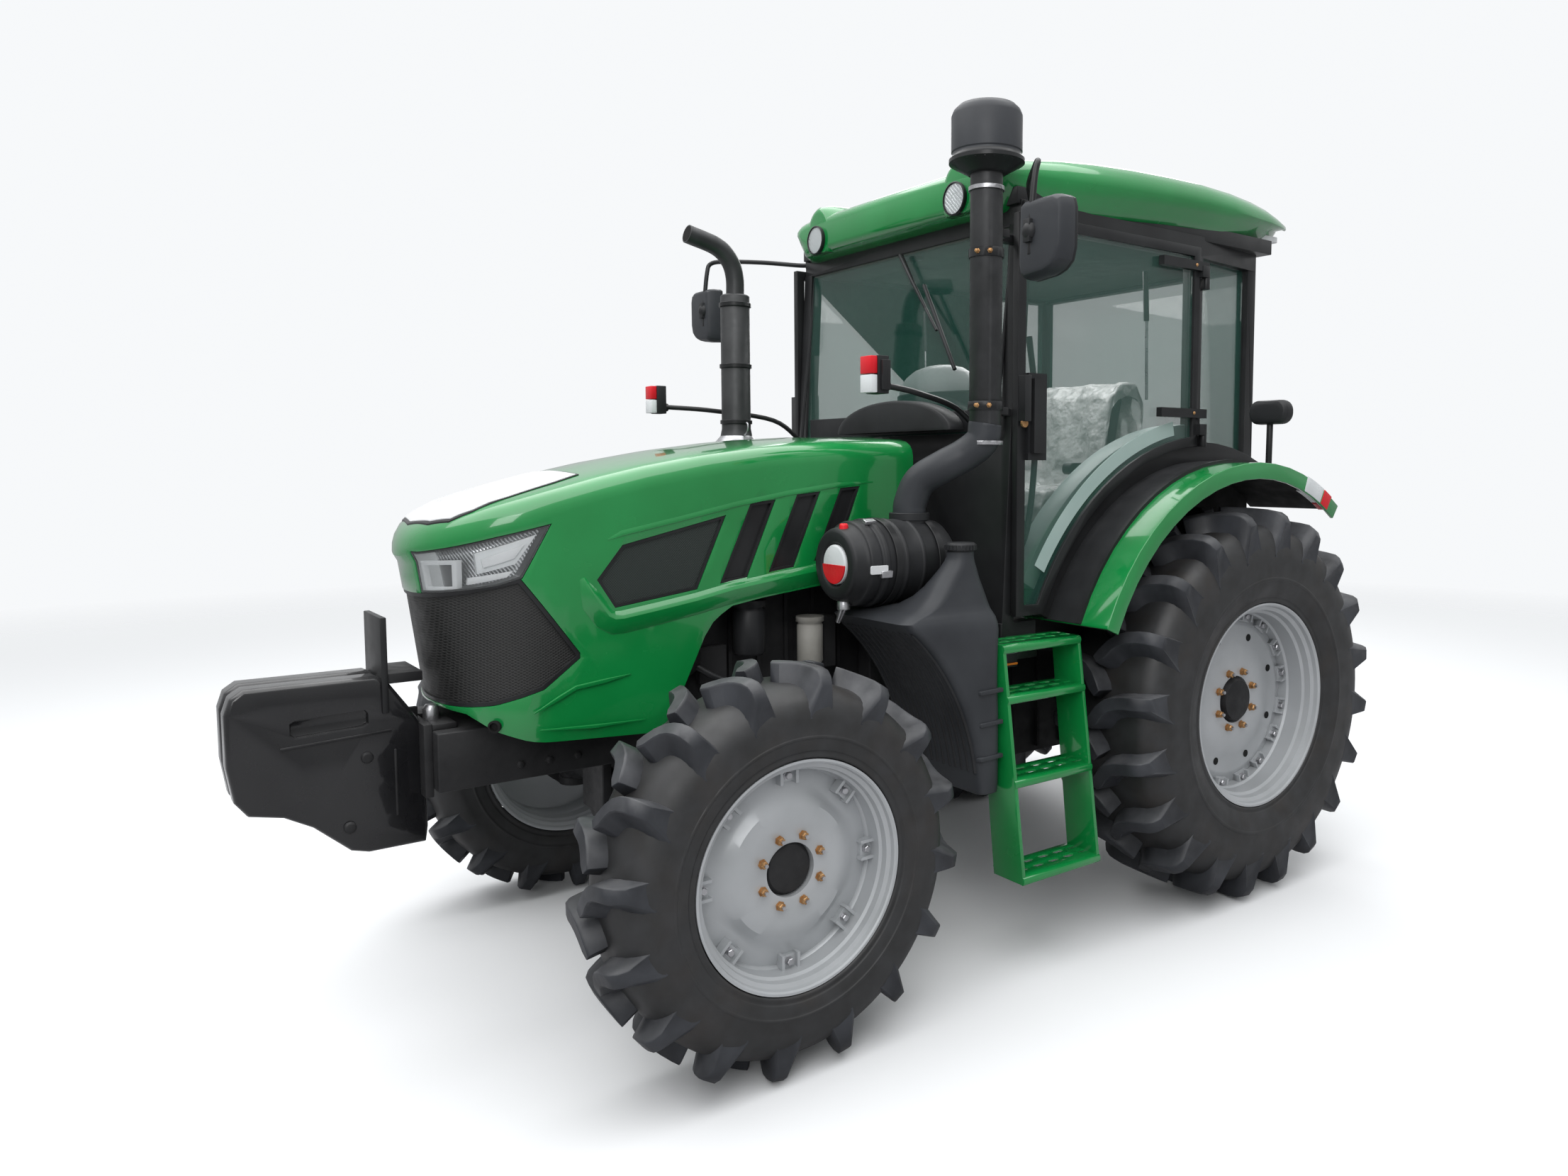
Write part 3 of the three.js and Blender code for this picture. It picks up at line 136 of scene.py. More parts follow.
def lathe(profile, axis, centre, material, steps=48, lobes=0):
    """A shape turned round an axis: (radius, place) points, from the axis back to it or round to
    the start. A third number makes the radius swing by that much, in lobes."""
    u_axis, v_axis, w_axis = AXES[axis]
    angles = np.arange(steps) * 2 * math.pi / steps
    closed = profile[0] == profile[-1]
    rows = profile[:-1] if closed else profile
    points, index = [], []
    for radius, place, *swing in rows:
        ring = []
        turns = angles if radius > 1e-6 else angles[:1]
        for angle in turns:
            r = radius + (swing[0] * math.cos(lobes * angle) if swing else 0)
            point = np.zeros(3)
            point[u_axis], point[v_axis], point[w_axis] = r * math.cos(angle), r * math.sin(angle), place
            ring.append(len(points))
            points.append(point + centre)
        index.append(ring if len(ring) > 1 else ring * steps)
    faces = []
    count = len(rows)
    for i in range(count if closed else count - 1):
        a, b = index[i], index[(i + 1) % count]
        for k in range(steps):
            face = [a[k], a[(k + 1) % steps], b[(k + 1) % steps], b[k]]
            face = [v for n, v in enumerate(face) if v not in face[:n]]
            if len(face) > 2:
                faces.append(face)
    solid = Solid(points, faces, material)
    return facing_out(solid)


def plug(radius, start, stop):
    """The profile of a plain round bar."""
    return [(0, start), (radius, start), (radius, stop), (0, stop)]


def hoop(inner, outer, start, stop):
    """The profile of a flat band round an axis."""
    return [(inner, start), (outer, start), (outer, stop), (inner, stop), (inner, start)]


def equal_turns(count):
    """Equal turns round a circle, in radians."""
    return np.arange(count) * math.tau / count


def facing_out(solid):
    """The same solid with its faces turned outwards, judged by its signed volume."""
    volume = 0.0
    points = solid.points - solid.points.mean(0)
    for face in solid.faces:
        a = points[face[0]]
        for b, c in zip(face[1:-1], face[2:]):
            volume += np.dot(a, np.cross(points[b], points[c]))
    if volume < 0:
        solid.faces = [face[::-1] for face in solid.faces]
    return solid


def smooth_path(points, per_span=6):
    """A centripetal-like smooth line through points, for pipes and arms."""
    points = [np.array(p, float) for p in points]
    padded = [2 * points[0] - points[1], *points, 2 * points[-1] - points[-2]]
    line = []
    for p0, p1, p2, p3 in zip(padded, padded[1:], padded[2:], padded[3:]):
        for t in np.arange(per_span) / per_span:
            line.append(0.5 * (2 * p1 + (p2 - p0) * t + (2 * p0 - 5 * p1 + 4 * p2 - p3) * t ** 2
                               + (3 * p1 - p0 - 3 * p2 + p3) * t ** 3))
    return [*line, points[-1]]


def tube(path, radius, material, sides=16):
    """A round bar along a line of points, with closed ends. The radius may change along it."""
    path = np.array(path, float)
    radii = radius if hasattr(radius, "__len__") else [radius] * len(path)
    ahead = np.gradient(path, axis=0)
    ahead /= np.linalg.norm(ahead, axis=1)[:, None]
    side = np.cross(ahead[0], (0, 0, 1) if abs(ahead[0][2]) < 0.9 else (0, 1, 0))
    points, faces = [], []
    for place, (centre, way, r) in enumerate(zip(path, ahead, radii)):
        side = side - way * np.dot(side, way)
        side /= np.linalg.norm(side)
        other = np.cross(way, side)
        for k in range(sides):
            angle = 2 * math.pi * k / sides
            points.append(centre + r * (math.cos(angle) * side + math.sin(angle) * other))
        if place:
            a, b = (place - 1) * sides, place * sides
            faces += [(a + k, a + (k + 1) % sides, b + (k + 1) % sides, b + k) for k in range(sides)]
    last = (len(path) - 1) * sides
    faces += [list(range(sides))[::-1], [last + k for k in range(sides)]]
    return Solid(points, faces, material)


def rounded(x0, x1, y0, y1, radius, steps=5):
    """The outline of a rectangle with round corners."""
    corners = [(x1 - radius, y0 + radius, -90), (x1 - radius, y1 - radius, 0),
               (x0 + radius, y1 - radius, 90), (x0 + radius, y0 + radius, 180)]
    outline = []
    for cx, cy, start in corners:
        for i in range(steps + 1):
            angle = math.radians(start + 90 * i / steps)
            outline.append((cx + radius * math.cos(angle), cy + radius * math.sin(angle)))
    return outline


def lofted(rings, material):
    """A closed skin over rings of points, which all have the same count."""
    count = len(rings[0])
    points = [p for ring in rings for p in ring]
    faces = []
    for i in range(len(rings) - 1):
        a, b = i * count, (i + 1) * count
        faces += [(a + k, a + (k + 1) % count, b + (k + 1) % count, b + k) for k in range(count)]
    last = (len(rings) - 1) * count
    faces += [list(range(count))[::-1], [last + k for k in range(count)]]
    return facing_out(Solid(points, faces, material))


def bolt(place, axis, size, high, material):
    """A hexagon head on a washer, standing along an axis. A negative height points the other way."""
    profile = [(0, 0), (size * 1.25, 0), (size * 1.25, high * 0.2), (size, high * 0.2), (size, high * 0.85),
               (size * 0.82, high), (0, high)]
    return lathe(profile, axis, place, material, 6)


# %% [markdown]
# ## From solids to a piece
#
# A piece is one Blender object. Its solids are gathered into one mesh, its
# edges get a small round, because no real edge is knife-sharp, and its faces
# are shaded smooth up to a chosen angle. Then it is put on the body that
# carries it, and the CAD nodes that it stands for are hidden.

# %% Gather solids into a mesh
made = {}


def mesh_of(name, solids):
    mesh = bpy.data.meshes.new(name)
    points, faces, slots, picks = [], [], [], []
    for solid in solids:
        start = len(points)
        points.extend(map(tuple, (solid.points / 1000 + (0, REAR_AXLE_Y, 0))))
        faces.extend([i + start for i in face] for face in solid.faces)
        for material in solid.materials:
            if material not in slots:
                slots.append(material)
            picks.append(slots.index(material))
    mesh.from_pydata(points, [], faces)
    for material in slots:
        mesh.materials.append(material)
    mesh.polygons.foreach_set("material_index", picks)
    mesh.validate()
    mesh.update()
    return mesh


def baked(thing):
    """Turns an object's modifiers into plain geometry."""
    graph = bpy.context.evaluated_depsgraph_get()
    mesh = bpy.data.meshes.new_from_object(thing.evaluated_get(graph))
    thing.modifiers.clear()
    thing.data = mesh
    return thing


def points_of(thing):
    """An object's points in metres, as an array."""
    return np.array([tuple(vertex.co) for vertex in thing.data.vertices])


def set_points(thing, points):
    thing.data.vertices.foreach_set("co", points.astype(np.float32).ravel())


def solid_of(thing, material):
    """An object's mesh as a solid in millimetres, in place of the object."""
    points = [tuple(1000 * c for c in vertex.co) for vertex in thing.data.vertices]
    faces = [list(face.vertices) for face in thing.data.polygons]
    bpy.data.objects.remove(thing)
    return Solid(points, faces, material)


def object_of(name, mesh):
    thing = bpy.data.objects.new(name, mesh)
    bpy.context.scene.collection.objects.link(thing)
    return thing


def rounded_edges(thing, width, segments=2, angle=30):
    """Rounds every edge sharper than the angle, by a width in millimetres."""
    bevel = thing.modifiers.new("edges", "BEVEL")
    bevel.width, bevel.segments = width / 1000, segments
    bevel.limit_method, bevel.angle_limit = "ANGLE", math.radians(angle)
    bevel.use_clamp_overlap = True
    return baked(thing)


def shaded(thing, angle=40):
    thing.data.polygons.foreach_set("use_smooth", [True] * len(thing.data.polygons))
    thing.data.set_sharp_from_angle(angle=math.radians(angle))
    thing.data.update()


# %% Put a piece on its body
def place(thing, body, slot, replaced=(), angle=40):
    shaded(thing, angle)
    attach(thing, body)
    if replaced:
        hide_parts(*([replaced] if isinstance(replaced, str) else replaced))
    made[thing.name] = len(thing.data.polygons)
    return thing


def piece(name, solids, body="root", slot="black_plastic", replaced=(), edge=0, segments=2, angle=40):
    thing = object_of(name, mesh_of(name, solids))
    if edge:
        rounded_edges(thing, edge, segments)
    return place(thing, body, slot, replaced, angle)


def pair(name, solids, body="root", slot="black_plastic", replaced=(), **finish):
    """A left piece and its mirror image. body and replaced may hold {side}."""
    pieces = []
    for side_name, side in SIDES.items():
        names = [node.format(side=side_name) for node in replaced]
        pieces.append(piece(f"{name}_{side_name}", on_side(side, solids), body.format(side=side_name),
                            slot, names, **finish))
    return pieces


# %% [markdown]
# ## Castings from the CAD frame
#
# Some parts already have the right shape in the CAD model: castings, arms and
# welded frames. Their meshes are loose triangles, so a copy is merged, its
# flat areas are joined, and its edges are rounded. The copy then gets its bolts
# and its finish, and stands for the node.

# %% A rounded copy of a node
def casting(name, nodes, body, slot, material, extra=(), edge=4, segments=2, reshape=None):
    work = bmesh.new()
    for node in nodes:
        work.from_mesh(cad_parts[node].data)
    bmesh.ops.remove_doubles(work, verts=work.verts, dist=0.0001)
    bmesh.ops.dissolve_limit(work, angle_limit=math.radians(2), verts=work.verts, edges=work.edges)
    mesh = bpy.data.meshes.new(name)
    work.to_mesh(mesh)
    work.free()
    mesh.materials.clear()
    mesh.materials.append(material)
    thing = object_of(name, mesh)
    if edge:
        rounded_edges(thing, edge, segments)
    if reshape:
        reshape(thing)
    if extra:
        joined(thing, extra)
    return place(thing, body, slot, nodes)


def casting_pair(name, node, body, slot, material, extra, edge, segments=2, reshape=None):
    """A left and a right casting. node and body may hold {side}, and extra is the left one's."""
    for side_name, side in SIDES.items():
        casting(f"{name}_{side_name}", [node.format(side=side_name)], body.format(side=side_name), slot,
                material, on_side(side, extra), edge, segments, reshape)


def joined(thing, solids):
    """Adds solids to a piece that is already a mesh."""
    other = mesh_of("extra", solids)
    slots = list(thing.data.materials)
    for material in other.materials:
        if material not in slots:
            slots.append(material)
    shift = [slots.index(material) for material in other.materials]
    work = bmesh.new()
    work.from_mesh(thing.data)
    count = len(work.faces)
    work.from_mesh(other)
    work.faces.ensure_lookup_table()
    for face in work.faces[count:]:
        face.material_index = shift[face.material_index]
    work.to_mesh(thing.data)
    work.free()
    for material in slots[len(thing.data.materials):]:
        thing.data.materials.append(material)


# %% [markdown]
# ## Finishes
#
# Real finishes are never one flat colour. Paint gathers a little dust on top,
# castings are rough, rubber is grey where it is dry. One recipe serves them
# all: two colours mixed by noise, a roughness that wanders, a fine grain as
# bump, and a paler grey on faces which look upwards, which is settled dust and
# also painted light from above. Object coordinates keep the pattern still when
# a wheel turns or a door opens.

# %% One recipe for most finishes
def recipe(name):
    material = bpy.data.materials.new(name)
    material.use_nodes = True
    tree = material.node_tree
    return material, tree, tree.nodes["Principled BSDF"]


def linked(tree, kind, inputs=(), **settings):
    node = tree.nodes.new(kind)
    for key, value in settings.items():
        setattr(node, key, value)
    for key, value in dict(inputs).items():
        if isinstance(value, bpy.types.NodeSocket):
            tree.links.new(value, node.inputs[key])
        else:
            node.inputs[key].default_value = value
    return node


def noise(tree, scale, detail=3):
    where = linked(tree, "ShaderNodeTexCoord").outputs["Object"]
    return linked(tree, "ShaderNodeTexNoise", {"Vector": where, "Scale": scale, "Detail": detail}).outputs[0]


def between(tree, factor, a, b):
    """A colour between two others."""
    node = linked(tree, "ShaderNodeMix", data_type="RGBA")
    tree.links.new(factor, node.inputs[0])
    for socket, colour in ((node.inputs[6], a), (node.inputs[7], b)):
        if isinstance(colour, bpy.types.NodeSocket):
            tree.links.new(colour, socket)
        else:
            socket.default_value = (*colour, 1)
    return node.outputs[2]


def spread(tree, value, low, high, from_low=0.3, from_high=0.7):
    return linked(tree, "ShaderNodeMapRange", {"Value": value, "From Min": from_low, "From Max": from_high,
                                               "To Min": low, "To Max": high}).outputs[0]


def bumped(tree, shader, height, strength, distance=0.001):
    bump = linked(tree, "ShaderNodeBump", {"Height": height, "Strength": strength, "Distance": distance})
    tree.links.new(bump.outputs[0], shader.inputs["Normal"])


def finish(name, dark, light, rough, scale=6, grain=(300, 0.05), metal=0.0, coat=0.0, dust_and_top_light=0.0):
    material, tree, shader = recipe(name)
    broad = noise(tree, scale, 4)
    colour = between(tree, spread(tree, broad, 0, 1), dark, light)
    # Faces that look upwards are mixed towards pale grey: settled dust, and painted light from above as well.
    if dust_and_top_light:
        up = linked(tree, "ShaderNodeSeparateXYZ",
                    {0: linked(tree, "ShaderNodeNewGeometry").outputs["Normal"]})
        lying = spread(tree, up.outputs["Z"], 0, dust_and_top_light, 0.2, 1.0)
        patchy = linked(tree, "ShaderNodeMath", {0: lying, 1: spread(tree, noise(tree, 14, 5), 0.2, 1)},
                        operation="MULTIPLY")
        colour = between(tree, patchy.outputs[0], colour, TOP_DUST_AND_LIGHT_COLOUR)
    tree.links.new(colour, shader.inputs["Base Color"])
    tree.links.new(spread(tree, noise(tree, scale * 3), *rough), shader.inputs["Roughness"])
    bumped(tree, shader, noise(tree, grain[0], 2), grain[1])
    shader.inputs["Metallic"].default_value = metal
    shader.inputs["Specular IOR Level"].default_value = 0.5 if metal else 0.25
    shader.inputs["Coat Weight"].default_value = coat
    shader.inputs["Coat Roughness"].default_value = 0.06
    return material


# %% The tractor's finishes
# The grey that upward faces take is dust and painted top light together. Castings, treads and weights take
# the most, so their tops are painted lighter as if lit from above.
TOP_DUST_AND_LIGHT_COLOUR = (0.15, 0.15, 0.152)
GREEN = finish("green_paint", (0.003, 0.18, 0.036), (0.006, 0.225, 0.05), (0.2, 0.28), 3, (900, 0.02),
               coat=1.0)
BLACK = finish("black_plastic", (0.013, 0.0135, 0.0145), (0.022, 0.023, 0.025), (0.42, 0.52), 5, (700, 0.10),
               dust_and_top_light=0.10)
SATIN = finish("satin_black", (0.012, 0.012, 0.013), (0.02, 0.021, 0.022), (0.28, 0.38), 5, (500, 0.04),
               dust_and_top_light=0.08)
CAST = finish("chassis_black", (0.010, 0.010, 0.011), (0.022, 0.022, 0.023), (0.42, 0.6), 9, (160, 0.25),
              dust_and_top_light=0.30)
GREY = finish("grey_plastic", (0.026, 0.028, 0.032), (0.038, 0.041, 0.046), (0.4, 0.5), 5, (600, 0.12),
              dust_and_top_light=0.05)
SILVER = finish("rim_silver", (0.36, 0.375, 0.385), (0.43, 0.445, 0.46), (0.34, 0.46), 4, (400, 0.06), 0.25,
                0.1, 0.08)
EXHAUST = finish("exhaust_paint", (0.02, 0.021, 0.022), (0.034, 0.035, 0.037), (0.38, 0.55), 12, (220, 0.12),
                 0.3, dust_and_top_light=0.12)
STEEL = finish("bare_steel", (0.35, 0.35, 0.36), (0.5, 0.5, 0.52), (0.25, 0.4), 30, (500, 0.08), 0.9)
COPPER = finish("passivated_zinc", (0.35, 0.17, 0.06), (0.5, 0.3, 0.14), (0.35, 0.5), 60, (500, 0.1), 0.7)
CLOTH = finish("seat_cloth", (0.03, 0.031, 0.034), (0.05, 0.052, 0.056), (0.8, 0.95), 18, (900, 0.5))
LINING = finish("cab_lining", (0.05, 0.058, 0.052), (0.07, 0.078, 0.07), (0.75, 0.9), 10, (90, 0.05))
MINT = finish("mint_panel", (0.3, 0.4, 0.375), (0.37, 0.46, 0.44), (0.3, 0.4), 4, (400, 0.03))
TREAD = finish("tread_rubber", (0.02, 0.021, 0.024), (0.045, 0.048, 0.055), (0.34, 0.5), 7, (200, 0.18),
               dust_and_top_light=0.45)
WEIGHT = finish("weight_paint", (0.006, 0.006, 0.007), (0.011, 0.011, 0.012), (0.2, 0.32), 5, (60, 0.06),
                coat=0.6, dust_and_top_light=0.3)
RED = finish("red_plastic", (0.55, 0.012, 0.02), (0.68, 0.02, 0.03), (0.25, 0.35), 8, (500, 0.03))
BEIGE = finish("beige_paint", (0.3, 0.29, 0.26), (0.4, 0.39, 0.36), (0.4, 0.5), 12, (400, 0.05), dust_and_top_light=0.2)
WHITE = finish("white_plastic", (0.6, 0.63, 0.64), (0.72, 0.74, 0.75), (0.25, 0.35), 8, (500, 0.03))
AMBER = finish("amber_plastic", (0.7, 0.16, 0.01), (0.8, 0.24, 0.02), (0.2, 0.3), 8, (500, 0.03))
PALE = finish("pale_panel", (0.58, 0.6, 0.61), (0.66, 0.67, 0.68), (0.25, 0.35), 5, (500, 0.03))
# Near black for holes, pipe mouths and the fender's underside: painted shade where light does not reach.
SHADOW_BLACK = finish("shadow_black", (0.004, 0.004, 0.004), (0.008, 0.008, 0.008), (0.7, 0.9), 5, (200, 0.1))

# %% [markdown]
# ## Rubber, glass and lamp lenses
#
# Rubber is nearly black on the sidewall, greyer on the lugs that have touched
# concrete, paler again on the lugs' upward faces from dust and painted light
# from above, and a little brown where soil has dried. Glass is a thin skin
# here: it lets most light through by its alpha, and mirrors more at a grazing
# angle, which the Layer Weight node gives. A film is the same with wrinkles.

# %% Rubber
def rubber():
    material, tree, shader = recipe("tyre_rubber")
    soil = between(tree, spread(tree, noise(tree, 5, 5), 0, 0.7, 0.5, 0.75), (0.0115, 0.0115, 0.0115),
                   (0.026, 0.02, 0.016))
    colour = between(tree, spread(tree, noise(tree, 16, 4), 0, 0.5), soil, (0.03, 0.031, 0.034))
    tree.links.new(colour, shader.inputs["Base Color"])
    tree.links.new(spread(tree, noise(tree, 9, 4), 0.42, 0.62), shader.inputs["Roughness"])
    bumped(tree, shader, noise(tree, 240, 3), 0.12)
    return material


RUBBER = rubber()


# %% Glass, film and lenses
def clear(name, colour, alpha_low, alpha_high, rough=0.03, wrinkle=0.0, blend=0.5):
    material, tree, shader = recipe(name)
    tint = between(tree, spread(tree, noise(tree, 2.5, 2), 0, 1), colour, tuple(0.9 * c for c in colour))
    tree.links.new(tint, shader.inputs["Base Color"])
    shader.inputs["Roughness"].default_value = rough
    shader.inputs["IOR"].default_value = 1.5
    shader.inputs["Coat Weight"].default_value = 1.0
    shader.inputs["Coat Roughness"].default_value = 0.03
    edge = linked(tree, "ShaderNodeLayerWeight", {"Blend": blend}).outputs["Fresnel"]
    tree.links.new(spread(tree, edge, alpha_low, alpha_high, 0, 1), shader.inputs["Alpha"])
    if wrinkle:
        bumped(tree, shader, noise(tree, 16, 4), wrinkle, 0.02)
    return material


GLASS = clear("cab_glass", (0.03, 0.1, 0.078), 0.32, 0.75, blend=0.12)
FILM = clear("seat_film", (0.75, 0.78, 0.77), 0.5, 0.98, 0.08, 1.4)
LENS = clear("lamp_lens", (0.75, 0.79, 0.8), 0.05, 0.6, 0.03, blend=0.25)


def reflector():
    """Bright plated plastic behind a lens, with fine upright ribs whose colour swings from dark to bright as
    a painted glint.
    """
    material, tree, shader = recipe("lamp_reflector")
    ribs = linked(tree, "ShaderNodeTexWave", {"Vector": linked(tree, "ShaderNodeTexCoord").outputs["Object"],
                                              "Scale": 38.0, "Distortion": 1.5}, wave_type="BANDS",
                  bands_direction="DIAGONAL")
    # The colour swings from dark to bright across each rib: a painted glint of the plating.
    tree.links.new(between(tree, ribs.outputs[1], (0.16, 0.17, 0.18), (0.86, 0.88, 0.9)),
                   shader.inputs["Base Color"])
    bumped(tree, shader, ribs.outputs[1], 0.4, 0.003)
    tree.links.new(spread(tree, noise(tree, 50), 0.12, 0.25), shader.inputs["Roughness"])
    shader.inputs["Metallic"].default_value = 0.85
    return material


MIRROR_GLASS = finish("mirror_silver", (0.7, 0.72, 0.74), (0.78, 0.8, 0.82), (0.02, 0.05), 4, (300, 0.0), 1.0)
REFLECTOR = reflector()
print("finishes:", len(bpy.data.materials))

# %% [markdown]
# ## Camera and light
#
# The camera stands low at the tractor's front left corner, close enough for a
# wide lens. A large soft panel overhead gives the roof and hood their bright
# sheen, two weaker ones fill the front and the rear, and a small one lights
# the cab from its ceiling. The world is white to the camera and through
# glass. It lights the tractor mostly from above, so that undersides stay dark,
# and the floor is darker to everything but the camera and fades out far away.

# %% Camera
CAMERA_PLACE = Vector((3.507, -2.5435, 1.716))
CAMERA_TURN, CAMERA_TILT = math.radians(52.32), math.radians(4.37)

camera = bpy.data.objects.new("camera", bpy.data.cameras.new("camera"))
bpy.context.scene.collection.objects.link(camera)
camera.data.lens, camera.data.sensor_width = 24.95, 36
camera.data.shift_x, camera.data.shift_y = -0.0746, -0.0233
backwards = Vector((math.sin(CAMERA_TURN) * math.cos(CAMERA_TILT),
                    -math.cos(CAMERA_TURN) * math.cos(CAMERA_TILT), math.sin(CAMERA_TILT)))
camera.location = CAMERA_PLACE
camera.rotation_mode = "QUATERNION"
camera.rotation_quaternion = (-backwards).to_track_quat("-Z", "Y")
bpy.context.scene.camera = camera
bpy.context.scene.view_settings.view_transform = "Standard"


# %% Soft panels of light
def panel_light(name, place, target, size, watts):
    light = bpy.data.objects.new(name, bpy.data.lights.new(name, "AREA"))
    light.data.shape, light.data.size, light.data.energy = "SQUARE", size, watts
    bpy.context.scene.collection.objects.link(light)
    light.location = place
    light.rotation_mode = "QUATERNION"
    light.rotation_quaternion = (Vector(target) - Vector(place)).to_track_quat("-Z", "Y")


panel_light("overhead", (0.3, -1.0, 6.5), (0, 0, 1), 9.5, 660)
panel_light("front_fill", (7, -6.0, 5.5), (0, 0, 1.2), 4, 230)
panel_light("rear_fill", (-6, 6.5, 5.5), (0, 0, 1.2), 5, 240)
panel_light("cab_glow", (0, REAR_AXLE_Y - 0.35, 2.56), (0, REAR_AXLE_Y - 0.3, 1.2), 0.9, 18)

# %% World and floor
world = bpy.data.worlds.new("studio")
bpy.context.scene.world = world
world.use_nodes = True
tree = world.node_tree
path = linked(tree, "ShaderNodeLightPath")
up = linked(tree, "ShaderNodeSeparateXYZ", {0: linked(tree, "ShaderNodeTexCoord").outputs["Generated"]})
sky = spread(tree, up.outputs["Z"], 0.3, 0.85, -0.05, 0.7)
mirrored_sky = linked(tree, "ShaderNodeMath", {0: path.outputs["Is Glossy Ray"], 1: 0.15, 2: sky},
                      operation="MULTIPLY_ADD")
seen = linked(tree, "ShaderNodeMath",
              {0: path.outputs["Is Camera Ray"], 1: path.outputs["Is Transmission Ray"]}, operation="MAXIMUM")
strength = linked(tree, "ShaderNodeMath", {0: seen.outputs[0], 1: mirrored_sky.outputs[0]},
                  operation="MAXIMUM")
tree.nodes["Background"].inputs["Color"].default_value = (0.93, 0.945, 0.96, 1)
tree.links.new(strength.outputs[0], tree.nodes["Background"].inputs["Strength"])

floor_mesh = bpy.data.meshes.new("floor")
floor_mesh.from_pydata([(x, y, 0) for x, y in ((-40, -40), (40, -40), (40, 40), (-40, 40))], [],
                       [(0, 1, 2, 3)])
floor = object_of("floor", floor_mesh)
floor_paint, floor_tree, floor_shader = recipe("studio_floor")
floor_path = linked(floor_tree, "ShaderNodeLightPath")
floor_colour = between(floor_tree, floor_path.outputs["Is Camera Ray"], (0.4, 0.4, 0.41), (0.8, 0.81, 0.82))
floor_tree.links.new(floor_colour, floor_shader.inputs["Base Color"])
floor_shader.inputs["Roughness"].default_value = 0.8
FADE_FROM, FADE_TO = 5, 14
far = linked(floor_tree, "ShaderNodeVectorMath",
             {0: linked(floor_tree, "ShaderNodeTexCoord").outputs["Object"]}, operation="LENGTH")
floor_tree.links.new(spread(floor_tree, far.outputs["Value"], 1, 0, FADE_FROM, FADE_TO),
                     floor_shader.inputs["Alpha"])
floor_mesh.materials.append(floor_paint)

# %% [markdown]
# ## Tyres
#
# A tractor tyre is a turned carcass with slanted lugs. Each lug starts near
# the middle of the tread, runs out to the shoulder in a shallow arc and wraps
# down the sidewall. The second row is the mirror image, half a pitch on. One
# lug is modelled as a short bar along its centre line, wide at the root and
# narrow at the top. Geometry Nodes then turns copies of it round the axle,
# because forty lugs must be alike and evenly spaced.

# %% Sizes of one wheel
class Wheel:
    def __init__(self, end, lugs, lug_high):
        low, high = shop(f"tyre_{end}_left")
        rim_low, rim_high = shop(f"rim_{end}_left")
        self.end, self.lugs, self.lug_high = end, lugs, lug_high
        self.axle = (low + high) / 2
        self.radius = (high[2] - low[2]) / 2
        self.half = (high[0] - low[0]) / 2
        self.rim = (rim_high[2] - rim_low[2]) / 2
        self.flange = rim_high[0] - self.axle[0]


FRONT, REAR = Wheel("front", 16, 54), Wheel("rear", 20, 64)
for wheel in (FRONT, REAR):
    print(wheel.end, "tyre radius", round(wheel.radius), "half width", round(wheel.half), "rim",
          round(wheel.rim), "flange at", round(wheel.flange), "axle", wheel.axle.round())


# %% The carcass is turned
def carcass_outer(wheel):
    """(radius, sideways) points from the bead to the middle of the tread."""
    half, r, f = wheel.half, wheel.rim, wheel.flange
    high = wheel.radius - wheel.lug_high - r
    points = [(r + 1, f - 16), (r + 3, f - 1), (r + 9, f + 4), (r + 16, f + 1), (r + 22, f + 1),
              (r + 25, f + 5)]
    for up, tucked in ((0.25, 5), (0.29, 4), (0.30, 1), (0.33, 1), (0.34, 3), (0.52, 0.5), (0.64, 3),
                       (0.72, 9), (0.80, 17), (0.88, 32), (0.94, 52), (0.98, 80)):
        points.append((r + high * up, half - tucked))
    return [*points, (r + high, half * 0.35), (r + high + 1, 0)]


def carcass(wheel):
    outer = carcass_outer(wheel)
    inner = [(max(radius - 16, wheel.rim + 1), max(side - 18, 0)) for radius, side in outer]
    loop = [*outer, *[(r, -s) for r, s in outer[-2::-1]], *[(r, -s) for r, s in inner], *inner[-2::-1]]
    return lathe([*loop, loop[0]], "x", ORIGIN, RUBBER, 120)


# %% One lug
def lug(wheel):
    """A bar along the lug's centre line at the top of the wheel: x sideways, y round, z out."""
    outer = carcass_outer(wheel)[::-1]
    w, half, top = wheel.half / 157.5, wheel.half, wheel.radius
    line = [(-12, -6), (4, 12), (22, 38), (42, 56), (68, 67), (98, 73), (126, 76), (143, 77), (154, 78)]
    line = [(x * w if x < 150 else half - 3.5, v * w ** 0.6 * 1.06) for x, v in line]
    tops = [top, top, top, top, top - 1, top - 3, top - 9, top - 24, top - 52]
    rings = []
    for i, ((x, v), high) in enumerate(zip(line, tops)):
        ahead = np.array(line[min(i + 1, 8)]) - np.array(line[max(i - 1, 0)])
        across = np.array((-ahead[1], ahead[0])) / np.linalg.norm(ahead)
        low = float(np.interp(abs(x), [s for r, s in outer[:9]], [r for r, s in outer[:9]])) - 12
        low = min(low, high - 40)
        crest = (19 if i else 13) * w ** 0.4
        foot = (high - low) * (1 if i else 0.6)
        ring = []
        for out, z in ((crest + foot * 0.28, low), (crest + 3, high - 7), (crest, high), (-crest, high),
                       (-crest - 3, high - 7), (-crest - foot * 0.5, low)):
            u = np.array((x, v)) + across * out
            ring.append((min(u[0], half - 1), u[1], z))
        rings.append(ring)
    rings.append([(x - 4, y * 0.98, z - 34) for x, y, z in rings[-1]])
    bar = lofted(rings, RUBBER)
    angle = bar.points[:, 1] / top
    bar.points[:, 1] = bar.points[:, 2] * np.sin(angle)
    bar.points[:, 2] = bar.points[:, 2] * np.cos(angle)
    return bar


